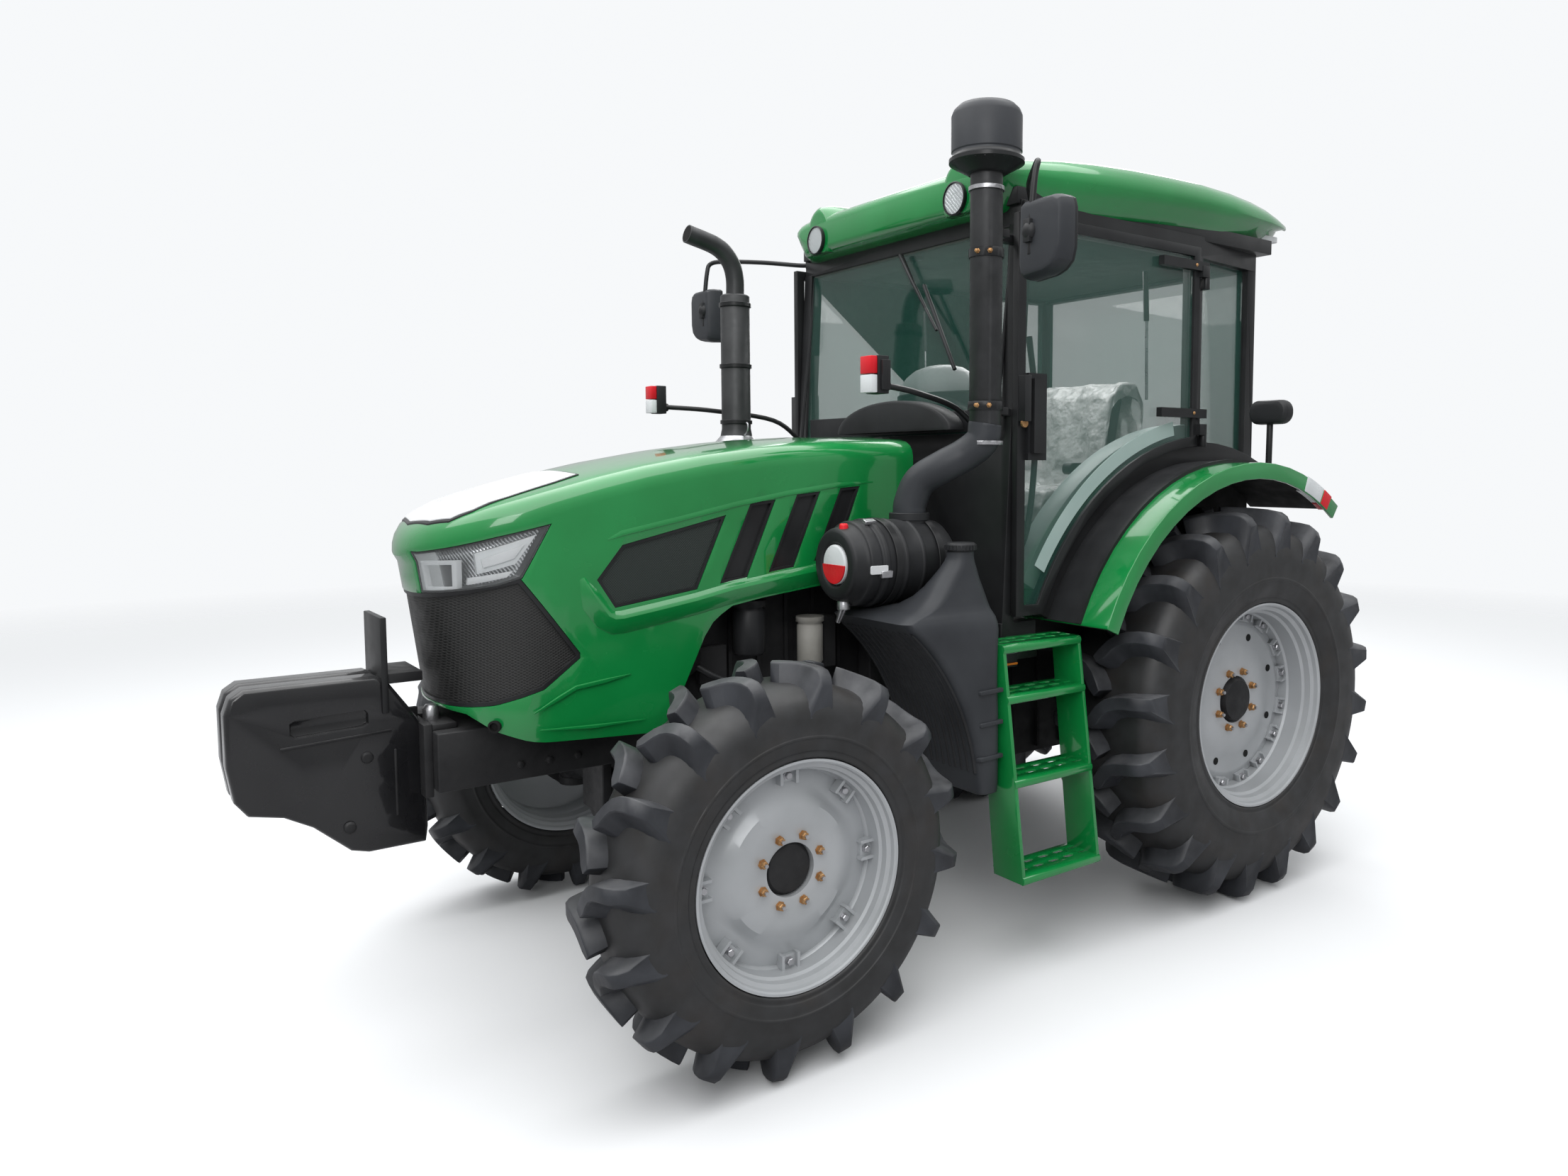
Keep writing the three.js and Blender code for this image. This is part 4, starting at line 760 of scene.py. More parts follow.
# %% [markdown]
# ## Copies round the axle with Geometry Nodes
#
# The node tree takes one mesh and lays copies of it round the X axis. Its
# inputs are the count, the first turn and the material. An index times the
# pitch gives each copy its angle; Realize Instances makes plain geometry of
# them, and Set Material gives the finish. The same tree serves lugs, studs
# and clamps of any number.

# %% The tree
def nodes_tree(name, inputs):
    """A tree with named inputs. Gives the tree, its start and end nodes, and each input's identifier."""
    tree = bpy.data.node_groups.new(name, "GeometryNodeTree")
    tree.interface.new_socket("Geometry", in_out="OUTPUT", socket_type="NodeSocketGeometry")
    tree.interface.new_socket("Geometry", in_out="INPUT", socket_type="NodeSocketGeometry")
    known = {}
    for title, kind in inputs:
        known[title] = tree.interface.new_socket(title, in_out="INPUT",
                                                 socket_type=f"NodeSocket{kind}").identifier
    return tree, tree.nodes.new("NodeGroupInput"), tree.nodes.new("NodeGroupOutput"), known


def ends_real(tree, start, end, copies):
    """Every tree ends in real geometry with its material."""
    real = linked(tree, "GeometryNodeRealizeInstances", {"Geometry": copies.outputs[0]})
    coated = linked(tree, "GeometryNodeSetMaterial",
                    {"Geometry": real.outputs[0], "Material": start.outputs["Material"]})
    tree.links.new(coated.outputs[0], end.inputs[0])


AXLE_TREE, start, end, AXLE_INPUTS = nodes_tree(
    "round_the_axle", [("Count", "Int"), ("First Turn", "Float"), ("Material", "Material")])
line = linked(AXLE_TREE, "GeometryNodeMeshLine", {"Count": start.outputs["Count"], "Offset": (0, 0, 0)})
pitch = linked(AXLE_TREE, "ShaderNodeMath", {0: math.tau, 1: start.outputs["Count"]}, operation="DIVIDE")
index = AXLE_TREE.nodes.new("GeometryNodeInputIndex")
turn = linked(AXLE_TREE, "ShaderNodeMath",
              {0: index.outputs[0], 1: pitch.outputs[0], 2: start.outputs["First Turn"]},
              operation="MULTIPLY_ADD")
spin = linked(AXLE_TREE, "ShaderNodeCombineXYZ", {"X": turn.outputs[0]})
ends_real(AXLE_TREE, start, end, linked(AXLE_TREE, "GeometryNodeInstanceOnPoints", {
    "Points": line.outputs[0], "Instance": start.outputs[0], "Rotation": spin.outputs[0]}))
print("round_the_axle inputs:", AXLE_INPUTS)


# %% Use a tree on solids
def through(tree, known, solids, values, material):
    """Runs solids through a tree and gives back one plain solid."""
    thing = object_of("one_of_many", mesh_of("one_of_many", solids))
    thing.data.transform(Matrix.Translation((0, -REAR_AXLE_Y, 0)))
    copies = thing.modifiers.new("copies", "NODES")
    copies.node_group = tree
    for title, value in {**values, "Material": material}.items():
        copies[known[title]] = value
    return solid_of(baked(thing), material)


def round_the_axle(solids, count, material, first=0.0):
    return through(AXLE_TREE, AXLE_INPUTS, solids, {"Count": count, "First Turn": math.radians(first)},
                   material)


# %% Make the four tyres
def tyre(wheel):
    one = lug(wheel)
    row = round_the_axle([one], wheel.lugs, TREAD)
    other = round_the_axle([one.mirrored()], wheel.lugs, TREAD, 180 / wheel.lugs)
    solids = [carcass(wheel), row, other]
    reach = max(float(np.hypot(s.points[:, 1], s.points[:, 2]).max()) for s in solids)
    print(wheel.end, "lugs reach", round(reach, 1), "mm")
    return [solid.moved(*wheel.axle) for solid in solids]


for wheel in (FRONT, REAR):
    pair(f"lugged_tyre_{wheel.end}", tyre(wheel), f"wheel_{wheel.end}_{{side}}", "tyre_rubber",
         [f"tyre_{wheel.end}_{{side}}"], edge=2, segments=1, angle=34)

# %% [markdown]
# ## Rims
#
# A rim is pressed from sheet in rings: a rolled lip, steps in the barrel that
# stiffen it, and a disc welded or clamped inside. The front disc is deeply set
# and has a wavy outer edge, held by brackets. The rear disc is nearly flat,
# with a raised centre and paired clamps. Both are turned shapes, and the wave
# is a radius that swings as the profile goes round.

# %% Barrels
def barrel(wheel, steps_in):
    """A thin ring of sheet: the outside faces the tyre, the inside shows its steps."""
    r, f = wheel.rim, wheel.flange
    shown = [(r, f), (r - 7, f)] + [(r - drop, f - inward) for inward, drop in steps_in]
    back = [(r - drop, inward - f) for inward, drop in steps_in[::-1] if drop < 62] + [(r - 7, -f), (r, -f)]
    hidden = [(r, 6 - f), (r - 5, 30 - f), (r - 12, 60 - f), (r - 12, f - 60), (r - 5, f - 30), (r, f - 6),
              (r, f)]
    return lathe([*shown, *back, *hidden], "x", ORIGIN, SILVER, 120)


STUD_CIRCLE, REAR_STUD_CIRCLE = 101.6, 118


def studs(place, circle=STUD_CIRCLE, size=11.5, high=26):
    """Copper-coloured nuts on a circle, with the stud's end standing out of each."""
    nut = bolt((place, 0, circle), "x", size, high * 0.7, COPPER)
    end = lathe(plug(size * 0.5, 0, high), "x", (place, 0, circle), STEEL, 8)
    return [round_the_axle([nut], 8, COPPER, 22.5), round_the_axle([end], 8, STEEL, 22.5)]


# %% The front rim
def front_rim():
    f = FRONT.flange
    disc = f - 100
    ring = [(288, disc - 6), (246, disc + 2, 20), (236, disc + 4, 18), (214, disc + 12, 6), (190, disc + 30),
            (150, disc + 38), (128, disc + 34), (90, disc + 34), (78, disc + 30), (76, disc - 30),
            (120, disc - 30), (190, disc - 4), (288, disc - 16), (288, disc - 6)]
    web = lathe(ring, "x", ORIGIN, SILVER, 96, 4)
    hub = lathe([(0, disc - 60), (75, disc - 60), (75, disc + 12), (66, disc + 22), (30, disc + 26),
                 (0, disc + 26)], "x", ORIGIN, CAST, 48)
    clamp = [block((disc - 2, disc + 16), (-26, 26), (252, 292), SILVER)]
    clamp += [block((disc - 2, disc + 30), ear, (246, 292), SILVER) for ear in ((-30, -21), (21, 30))]
    clamps = round_the_axle(clamp, 8, SILVER)
    nuts = round_the_axle([bolt((disc + 16, 0, 270), "x", 11, 14, STEEL)], 8, STEEL)
    rim = barrel(FRONT, [(4, 12), (16, 15), (22, 27), (40, 30), (46, 38), (92, 41), (98, 46), (104, 48)])
    return [s.moved(*FRONT.axle) for s in (rim, web, hub, clamps, nuts, *studs(disc + 34))]


pair("stepped_rim_front", front_rim(), "wheel_front_{side}", "rim_silver", ["rim_front_{side}"], angle=30)


# %% The rear rim
REAR_CLAMP_TURNS = (12, 33)


def rear_rim():
    f = REAR.flange
    disc = f - 158
    ring = [(352, disc - 6), (338, disc), (322, disc + 2), (308, disc + 10), (296, disc + 12),
            (236, disc + 12), (222, disc + 20), (150, disc + 24), (96, disc + 24), (92, disc - 30),
            (200, disc - 4), (352, disc - 18), (352, disc - 6)]
    web = lathe(ring, "x", ORIGIN, SILVER, 96)
    hub = lathe([(0, disc - 60), (91, disc - 60), (91, disc + 16), (80, disc + 40), (36, disc + 46),
                 (0, disc + 46)], "x", ORIGIN, CAST, 48)
    foot = [block((disc - 4, disc + 30), ear, (322, 366), SILVER) for ear in ((-34, -25), (25, 34))]
    foot.append(block((disc - 4, disc + 14), (-34, 34), (318, 366), SILVER))
    nut = bolt((disc + 14, 0, 340), "x", 12, 18, STEEL)
    clamps = [round_the_axle(foot, 8, SILVER, turn) for turn in REAR_CLAMP_TURNS]
    nuts = [round_the_axle([nut], 8, STEEL, turn) for turn in REAR_CLAMP_TURNS]
    # Thin near-black discs stand for the disc's holes: painted shade where the holes are.
    holes = round_the_axle([lathe(plug(15, 0, 1.5), "x", (disc + 12, 0, 262), SHADOW_BLACK, 16)], 8, SHADOW_BLACK, 22.5)
    rim = barrel(REAR, [(5, 13), (20, 16), (28, 30), (52, 34), (60, 44), (118, 47), (126, 54), (150, 56)])
    return [s.moved(*REAR.axle)
            for s in (rim, web, hub, holes, *clamps, *nuts, *studs(disc + 24, REAR_STUD_CIRCLE, 13, 32))]


pair("stepped_rim_rear", rear_rim(), "wheel_rear_{side}", "rim_silver", ["rim_rear_{side}"], angle=30)

# %% [markdown]
# ## The hood's skin
#
# A hood is pressed from one sheet: flat walls, a tight roll at the shoulder, a
# gently crowned top and a blunt nose. It could be pushed about by hand, but a
# rule is surer. Columns of points run up the wall from the skirt, over the
# shoulder and on to a line down the middle. The same rule with an inward
# offset gives the grille and the lenses, which lie just under the skin.

# %% Lines that the skin follows
HOOD_WIDE, NOSE_START, NOSE_LONG = 380, -2560, 390
TOP_LINE = [(-2950, 1546), (-2935, 1562), (-2900, 1580), (-2850, 1598), (-2760, 1628), (-2600, 1672),
            (-2450, 1712), (-2300, 1746), (-2100, 1782), (-1850, 1815), (-1600, 1831), (-1268, 1838)]
SKIRT = [(-2950, 1002), (-2880, 996), (-2800, 950), (-2700, 918), (-2660, 910), (-2300, 888), (-2258, 908),
         (-2215, 975), (-2176, 1057), (-2110, 1198), (-2080, 1232), (-2019, 1269), (-1900, 1288),
         (-1650, 1316), (-1268, 1330)]
SHOULDER = [(0, 92), (1, 74), (7, 54), (20, 36), (42, 24), (78, 16)]


def along(line, y):
    return float(np.interp(y, [p[0] for p in line], [p[1] for p in line]))


def hood_columns(inset):
    """Places on the hood's plan from the left rear round the nose to the right rear."""
    wide = HOOD_WIDE - inset
    side = [(wide, y) for y in (-1268, -1330, -1400, -1500, -1600, -1700, -1800, -1900, -1960, -2019, -2060,
                                -2090, -2120, -2150, -2180, -2215, -2240, -2262, -2300, -2370, -2440, -2500)]
    nose = []
    for turn in np.linspace(0, 90, 22):
        u = math.radians(turn)
        nose.append((wide * math.cos(u), NOSE_START - (NOSE_LONG - inset) * math.sin(u) ** 0.8))
    left = side + nose
    return left + [(-x, y) for x, y in left[-2::-1]]


def hood_rings(inset):
    """One ring of points, from skirt to middle line, for each column."""
    rings = []
    for x, y in hood_columns(inset):
        low, high = along(SKIRT, y), along(TOP_LINE, y) - SHOULDER[0][1] - inset
        forward = max(0, (NOSE_START - y) / NOSE_LONG) ** 2
        ring = []
        for share in (0, 0.1, 0.22, 0.36, 0.5, 0.62, 0.74, 0.86, 0.94):
            z = low + (high - low) * share
            rake = np.interp(z, (900, 1000, 1350, 1530), (92, 80, 28, 0)) * forward
            lean = np.interp(z, (880, 1250, 1700), (10, 0, 0))
            ring.append((x * (1 - lean / 380), y + rake, z))
        spine = np.array((0, max(y, -2480)))
        way = spine - (x, y)
        far = np.linalg.norm(way)
        way = way / max(far, 1e-6)
        for inward, drop in SHOULDER:
            px, py = np.array((x, y)) + way * min(inward, far)
            ring.append((px, py, along(TOP_LINE, py) - inset - drop))
        for share in (0.3, 0.5, 0.7, 0.86, 1):
            start = np.array((x, y)) + way * SHOULDER[-1][0]
            px, py = start + (spine - start) * share
            ring.append((px, py, along(TOP_LINE, py) - inset - SHOULDER[-1][1] * (1 - share) ** 1.6))
        rings.append(ring)
    return rings


def hood_sheet(name, inset, thick, material):
    """The skin at an inset, as a closed sheet with a thickness that goes inwards."""
    rings = hood_rings(inset)
    count = len(rings[0])
    points = [p for ring in rings for p in ring]
    faces = []
    for i in range(len(rings) - 1):
        for k in range(count - 1):
            a, b = i * count + k, (i + 1) * count + k
            faces.append((a, a + 1, b + 1, b))
    thing = object_of(name, mesh_of(name, [Solid(points, faces, material)]))
    work = bmesh.new()
    work.from_mesh(thing.data)
    bmesh.ops.remove_doubles(work, verts=work.verts, dist=0.0004)
    bmesh.ops.dissolve_degenerate(work, dist=0.0001, edges=work.edges)
    tops = [v for v in work.verts if abs(v.co.x) < 0.0005]
    bmesh.ops.remove_doubles(work, verts=tops, dist=0.0015)
    bmesh.ops.recalc_face_normals(work, faces=work.faces)
    if sum(face.normal.z for face in work.faces) < 0:
        bmesh.ops.reverse_faces(work, faces=work.faces)
    work.to_mesh(thing.data)
    work.free()
    wall = thing.modifiers.new("thickness", "SOLIDIFY")
    wall.thickness, wall.offset, wall.use_even_offset = thick / 1000, -1, True
    return baked(thing)


def bored(thing, solids, operation="DIFFERENCE"):
    """Cuts solids out of a piece, or keeps only what lies in them."""
    cutter = object_of("cutter", mesh_of("cutter", solids))
    cut = thing.modifiers.new("cut", "BOOLEAN")
    cut.operation, cut.solver, cut.object, cut.use_self = operation, "EXACT", cutter, len(solids) > 1
    baked(thing)
    bpy.data.objects.remove(cutter)
    return thing


# %% [markdown]
# ## Openings in the skin
#
# Lamps, grille and side vents are outlines seen from the side. Each outline is
# carried through the wall and cut out with an exact boolean. The vents start
# with a pointed hexagon and go on as three slanted slots, so the wall between
# them is left as slanted ribs.

# %% Outlines seen from the side, as (y, z)
GRILLE_EDGE = [(-3100, 1338), (-2920, 1346), (-2700, 1400), (-2532, 1166), (-2532, 1150), (-2640, 1066),
               (-2769, 1026), (-2870, 1008), (-3100, 1000)]
LIGHT_EDGE = [(-3100, 1478), (-2925, 1474), (-2760, 1520), (-2609, 1556), (-2694, 1398), (-2760, 1376),
              (-2920, 1346), (-3100, 1338)]
VENT = [(-2038, 1566), (-2144, 1331), (-2421, 1293), (-2477, 1382), (-2394, 1484)]
SLOTS = [[(-1947, 1603), (-1851, 1613), (-1965, 1352), (-2064, 1344)],
         [(-1768, 1628), (-1672, 1638), (-1784, 1380), (-1882, 1370)],
         [(-1590, 1648), (-1506, 1655), (-1606, 1408), (-1702, 1398)]]


def shrunk(outline, by):
    """An outline moved inwards by a distance, along its corners' bisectors."""
    points = np.array(outline, float)
    area = sum(a[0] * b[1] - b[0] * a[1] for a, b in zip(points, np.roll(points, -1, 0)))
    sign = 1 if area > 0 else -1
    result = []
    for before, here, after in zip(np.roll(points, 1, 0), points, np.roll(points, -1, 0)):
        a, b = (here - before) / np.linalg.norm(here - before), (after - here) / np.linalg.norm(after - here)
        na, nb = sign * np.array((-a[1], a[0])), sign * np.array((-b[1], b[0]))
        corner = (na + nb) / max(1 + float(na @ nb), 0.4)
        result.append(tuple(here + corner * by))
    return result


def both(solid):
    return [solid, solid.mirrored()]


# %% Cut the hood
hood = hood_sheet("hood_skin", 0, 5, GREEN)
bored(hood, [carried(GRILLE_EDGE, "x", -600, 600, GREEN)])
bored(hood, both(carried(LIGHT_EDGE, "x", 108, 600, GREEN)))
for outline in (VENT, *SLOTS):
    bored(hood, both(carried(outline, "x", 330, 430, GREEN)))
print("hood skin after cutting:", len(hood.data.polygons), "faces")

# %% [markdown]
# ## Ledge, creases and vent panels
#
# Below the vents the pressing steps outwards as a ledge that catches the
# light. It is a slim strip with a flat top, lofted along the line of the step
# with a hook at its front. The vents are closed by dark panels with a pressed
# frame, set a little inside the wall.

# %% The ledge
def strip(path, section, material):
    """A strip on the left wall: path points (y, z), section points (out, up) from the wall."""
    path = [np.array(p, float) for p in path]
    rings = []
    for i, here in enumerate(path):
        grow = min(1, 0.25 + i, 0.25 + len(path) - 1 - i)
        before, after = path[max(i - 1, 0)], path[min(i + 1, len(path) - 1)]
        ahead = (after - before) / np.linalg.norm(after - before)
        up = np.array((-ahead[1], ahead[0]))
        rings.append([(HOOD_WIDE + out * grow, *(here + up * rise * grow)) for out, rise in section])
    return lofted(rings, material)


LEDGE = [(-2520, 1392), (-2478, 1330), (-2440, 1276), (-2424, 1268), (-2400, 1268), (-2300, 1282),
         (-2155, 1304), (-2018, 1331), (-1850, 1354), (-1672, 1376), (-1500, 1392), (-1390, 1400)]
ledge = strip(LEDGE, [(-3, -58), (2, -52), (12, -18), (14, -8), (12, -3), (-3, 20)], GREEN)
crease = strip([(-2676, 1003), (-2600, 1045), (-2550, 1069), (-2460, 1079), (-2374, 1086)],
               [(-3, -14), (2, -12), (4, -1), (-3, 1)], GREEN)
low_crease = strip([(-2660, 952), (-2500, 944), (-2330, 938)], [(-3, -13), (3, -10), (4, -1), (-3, 1)], GREEN)
brow = strip([(-2440, 1500), (-2394, 1512), (-2200, 1550), (-2000, 1592), (-1800, 1626), (-1600, 1652),
              (-1450, 1666)], [(-3, -2), (2.2, 0), (2.2, 9), (-3, 26)], GREEN)
joined(hood, both(ledge) + both(crease) + both(low_crease) + both(brow))
rounded_edges(hood, 2.2, 2, 38)
place(hood, "hood", "green_paint", ["hood_shell"], 32)


# %% [markdown]
# ## Punched mesh
#
# The vents and the grille are closed by a fine black mesh. Real holes would
# need a million faces, so the finish draws them: two slanted sets of bands
# cross, and where both are dark there is a hole, painted darker than the wire
# as the shade behind it. The same pattern drives the bump, so the wires stand
# out.

# %% The mesh finish
def punched(name, wire, hole, scale, slant):
    material, tree, shader = recipe(name)
    where = linked(tree, "ShaderNodeTexCoord").outputs["Object"]
    bands = []
    for turn in (slant, -slant):
        turned = linked(tree, "ShaderNodeMapping", {"Vector": where, "Rotation": (math.radians(turn), 0, 0)})
        wave = linked(tree, "ShaderNodeTexWave", {"Vector": turned.outputs[0], "Scale": scale},
                      wave_type="BANDS", bands_direction="Y")
        bands.append(wave.outputs[1])
    cross = linked(tree, "ShaderNodeMath", {0: bands[0], 1: bands[1]}, operation="MAXIMUM")
    wires = spread(tree, cross.outputs[0], 0, 1, 0.62, 0.82)
    # The holes get the darker colour: painted shade behind the mesh.
    tree.links.new(between(tree, wires, hole,
                           between(tree, noise(tree, 5), wire, tuple(1.5 * c for c in wire))),
                   shader.inputs["Base Color"])
    bumped(tree, shader, wires, 0.6, 0.002)
    tree.links.new(spread(tree, noise(tree, 20), 0.4, 0.55), shader.inputs["Roughness"])
    return material


MESH_PANEL = punched("punched_panel", (0.015, 0.023, 0.02), (0.004, 0.006, 0.005), 55, 45)
MESH_GRILLE = punched("punched_grille", (0.015, 0.015, 0.0145), (0.003, 0.003, 0.003), 42, 60)

# %% Vent panels
def vent_panel(outline, deep, material):
    inside = shrunk(outline, 9)
    frame_bar = [carried([a, b, d, c], "x", HOOD_WIDE - 16, HOOD_WIDE - 3, SATIN) for a, b, c, d in zip(
        outline, outline[1:] + outline[:1], inside, inside[1:] + inside[:1])]
    return frame_bar + [carried(shrunk(outline, 2), "x", HOOD_WIDE - deep - 4, HOOD_WIDE - deep, material)]


panels = vent_panel(shrunk(VENT, 1), 9, MESH_PANEL)
for outline in SLOTS:
    panels += vent_panel(shrunk(outline, 1), 14, SATIN)
pair("vent_panels", panels, "hood", "black_plastic")

# %% [markdown]
# ## Grille and headlamps
#
# The grille is the same skin a little further in, kept only inside its
# outline. A headlamp is a clear lens flush with the hood, and a bright bowl
# behind it. The projector's frame and glass and the light bars between them
# are more patches of skin, so that they follow the lamp's curve.

# %% A patch of skin
HOOD_SMOOTH = 32


def patch(name, inset, thick, material, keep, cut=None, edge=(), slot="lamp_lens", replaced=(), side=1):
    """The skin at an inset, kept inside one shape and cut by another. A shape is an outline, its axis
    and the two places it is carried between."""
    thing = hood_sheet(name, inset, thick, material)
    bored(thing, on_side(side, [carried(*keep, material)]), "INTERSECT")
    if cut:
        bored(thing, on_side(side, [carried(*cut, material)]))
    if edge:
        rounded_edges(thing, *edge)
    return place(thing, "hood", slot, replaced, HOOD_SMOOTH)


# %% Grille
WHOLE_NOSE = ("x", -600, 600)
grille_shape = (shrunk(GRILLE_EDGE, 1), *WHOLE_NOSE)
patch("nose_grille", 10, 4, MESH_GRILLE, grille_shape, None, (1.2, 1), "black_plastic", ["grille"])
patch("grille_trim", 3, 14, SATIN, grille_shape, (shrunk(GRILLE_EDGE, 13), *WHOLE_NOSE), (1.2, 1),
      "black_plastic")

# %% Headlamps: a lens, a bowl behind it and a dark rim round both
for side_name, side in SIDES.items():
    patch(f"headlamp_lens_{side_name}", 2, 3, LENS, (shrunk(LIGHT_EDGE, 3), "x", 112, 600),
          replaced=[f"headlight_{side_name}"], side=side)
    patch(f"headlamp_bowl_{side_name}", 52, 5, REFLECTOR, (shrunk(LIGHT_EDGE, -6), "x", 100, 600), side=side)
    patch(f"headlamp_rim_{side_name}", 3, 46, SATIN, (shrunk(LIGHT_EDGE, 1), "x", 110, 600),
          (shrunk(LIGHT_EDGE, 8), "x", 117, 700), slot="black_plastic", side=side)

# %% What shows behind the lens
# A lamp is seen from the front where the nose is blunt, and from the side where it runs back.
REACH = {"x": (250, 600), "y": (-3100, -2500)}
LAMP_PARTS = {
    "projector_frame": ("y", [(128, 1356), (124, 1446), (256, 1452), (248, 1362)], 9, 12, PALE),
    "projector_glass": ("y", [(146, 1368), (144, 1434), (238, 1440), (232, 1374)], 24, 5, SATIN),
    "light_bar": ("x", [(-2806, 1472), (-2650, 1524), (-2708, 1440), (-2800, 1412)], 14, 14, WHITE),
    "bar_core": ("x", [(-2792, 1456), (-2684, 1496), (-2712, 1456), (-2788, 1430)], 9, 8, PALE),
    "low_bar": ("x", [(-2820, 1400), (-2714, 1420), (-2730, 1402), (-2822, 1380)], 14, 10, PALE)}
for part, (axis, outline, inset, thick, material) in LAMP_PARTS.items():
    keep, cut = ((shape, axis, *REACH[axis]) for shape in (outline, shrunk(outline, 13)))
    for side_name, side in SIDES.items():
        patch(f"lamp_{part}_{side_name}", inset, thick, material, keep,
              cut if part == "projector_frame" else None, (2, 2), side=side)

# %% The pale panel on top of the nose
PLATE = [(0, -2915), (150, -2895), (232, -2858), (268, -2800), (276, -2700), (262, -2560), (236, -2470),
         (0, -2470)]
PLATE = PLATE + [(-x, y) for x, y in PLATE[-2:0:-1]]
ABOVE = ("z", 1420, 1900)
patch("nose_plate", -5, 6, PALE, (shrunk(PLATE, 8), *ABOVE), None, (1.5, 2), "green_paint")
patch("nose_plate_seal", -3, 6, SATIN, (shrunk(PLATE, 0), *ABOVE), None, (1.5, 2), "black_plastic")

# %% Latch hole and hinges
inside = [block((190, 244), (-1306, -1274), (1700, 1832), CAST),
          lathe(plug(15, 180, 250), "x", (0, -1290, 1735), STEEL, 24)]
# The latch hole is a shallow near-black cup: painted shade inside the hole.
latch = [lathe([(0, -14), (17, -14), (19, 3), (13, 4), (12, -6), (0, -6)], "x", ORIGIN, SHADOW_BLACK, 20).turned(
    "z", -42).moved(322, -2773, 966)]
pair("hood_hinge", inside, "hood", "green_paint")
pair("hood_latch", latch, "hood", "black_plastic")

# %% [markdown]
# ## Chassis, axle and hitch
#
# Below the paint a tractor is castings: rails, engine, gearbox, axle. The CAD
# nodes have their shapes, so each becomes a rounded copy with the things a
# casting carries: bolts, ribs, covers, filters. Bolts are hexagons on
# washers, and rows of them come from a tree that copies along a step.

# %% Copies in a row with Geometry Nodes
ROW_TREE, start, end, ROW_INPUTS = nodes_tree("in_a_row", [("Count", "Int"), ("Step", "Vector"),
                                                           ("Material", "Material")])
line = linked(ROW_TREE, "GeometryNodeMeshLine",
              {"Count": start.outputs["Count"], "Offset": start.outputs["Step"]})
ends_real(ROW_TREE, start, end, linked(ROW_TREE, "GeometryNodeInstanceOnPoints", {
    "Points": line.outputs[0], "Instance": start.outputs[0]}))


def in_a_row(solids, count, step, material):
    """Copies at equal steps, in millimetres, as one solid."""
    return through(ROW_TREE, ROW_INPUTS, solids, {"Count": count, "Step": [c / 1000 for c in step]}, material)


# %% Rails, axle beam and steering
AXLE_Y = FRONT.axle[1]
AXLE_Z = FRONT.axle[2]
rail_high = shop("front_frame")[1]
rail_bolts = []
for side in (1, -1):
    head = bolt((side * rail_high[0], -1900, 900), "x", 11, side * 9, CAST)
    rail_bolts += [in_a_row([head], 4, (0, 120, 0), CAST),
                   in_a_row([head.moved(y=-760, z=-90)], 3, (0, 90, 0), CAST)]
casting("chassis_rails", ["front_frame"], "root", "chassis_black", CAST, rail_bolts, 5)

cover = lathe([(0, 0), (118, 0), (118, 14), (96, 34), (60, 52), (0, 58)], "y", ORIGIN, CAST, 40)
front_cover = Solid(cover.points * (1, -1, 1), [f[::-1] for f in cover.faces], CAST).moved(
    0, AXLE_Y - 138, AXLE_Z)
ring_bolts = [bolt((106 * math.cos(a), AXLE_Y - 152, AXLE_Z + 106 * math.sin(a)), "y", 8, -9, STEEL)
              for a in equal_turns(10)]
sleeves = [lathe([(0, 330), (86, 330), (86, 352), (70, 362), (70, 560), (92, 600), (92, 632), (0, 632)], "x",
                 (0, AXLE_Y, AXLE_Z), CAST, 32)]
sleeves += [sleeves[0].mirrored()]
casting("axle_beam", ["front_axle"], "root", "chassis_black", CAST, [front_cover, *ring_bolts, *sleeves], 5)
hub = [lathe([(0, 718), (132, 718), (132, 742), (112, 760), (112, 800), (74, 812), (0, 812)], "x",
             (0, AXLE_Y, AXLE_Z), CAST, 40)]
hub += [bolt((745, AXLE_Y + 46 * s, AXLE_Z + t), "x", 10, 8, STEEL) for s in (-1, 1) for t in (-95, 95)]
casting_pair("steering_knuckle", "knuckle_{side}", "knuckle_{side}", "chassis_black", CAST, hub, 5)


EYE_ROOM = 0.0025


def wider_eyes(thing):
    """Opens the rod's two eyes a little, so that the pins turn freely in them."""
    rod_low, rod_high = shop("track_rod")
    eye = (rod_high[1] - rod_low[1]) / 2
    for vertex in thing.data.vertices:
        x, y = 1000 * abs(vertex.co.x) - (rod_high[0] - eye), 1000 * (vertex.co.y - REAR_AXLE_Y) - (
            rod_low[1] + eye)
        away = math.hypot(x, y)
        if away < eye * 0.7:
            vertex.co.x += math.copysign(x / away * EYE_ROOM, vertex.co.x)
            vertex.co.y += y / away * EYE_ROOM


casting("steering_track_rod", ["track_rod"], "track_rod", "chassis_black", SATIN, edge=0, reshape=wider_eyes)

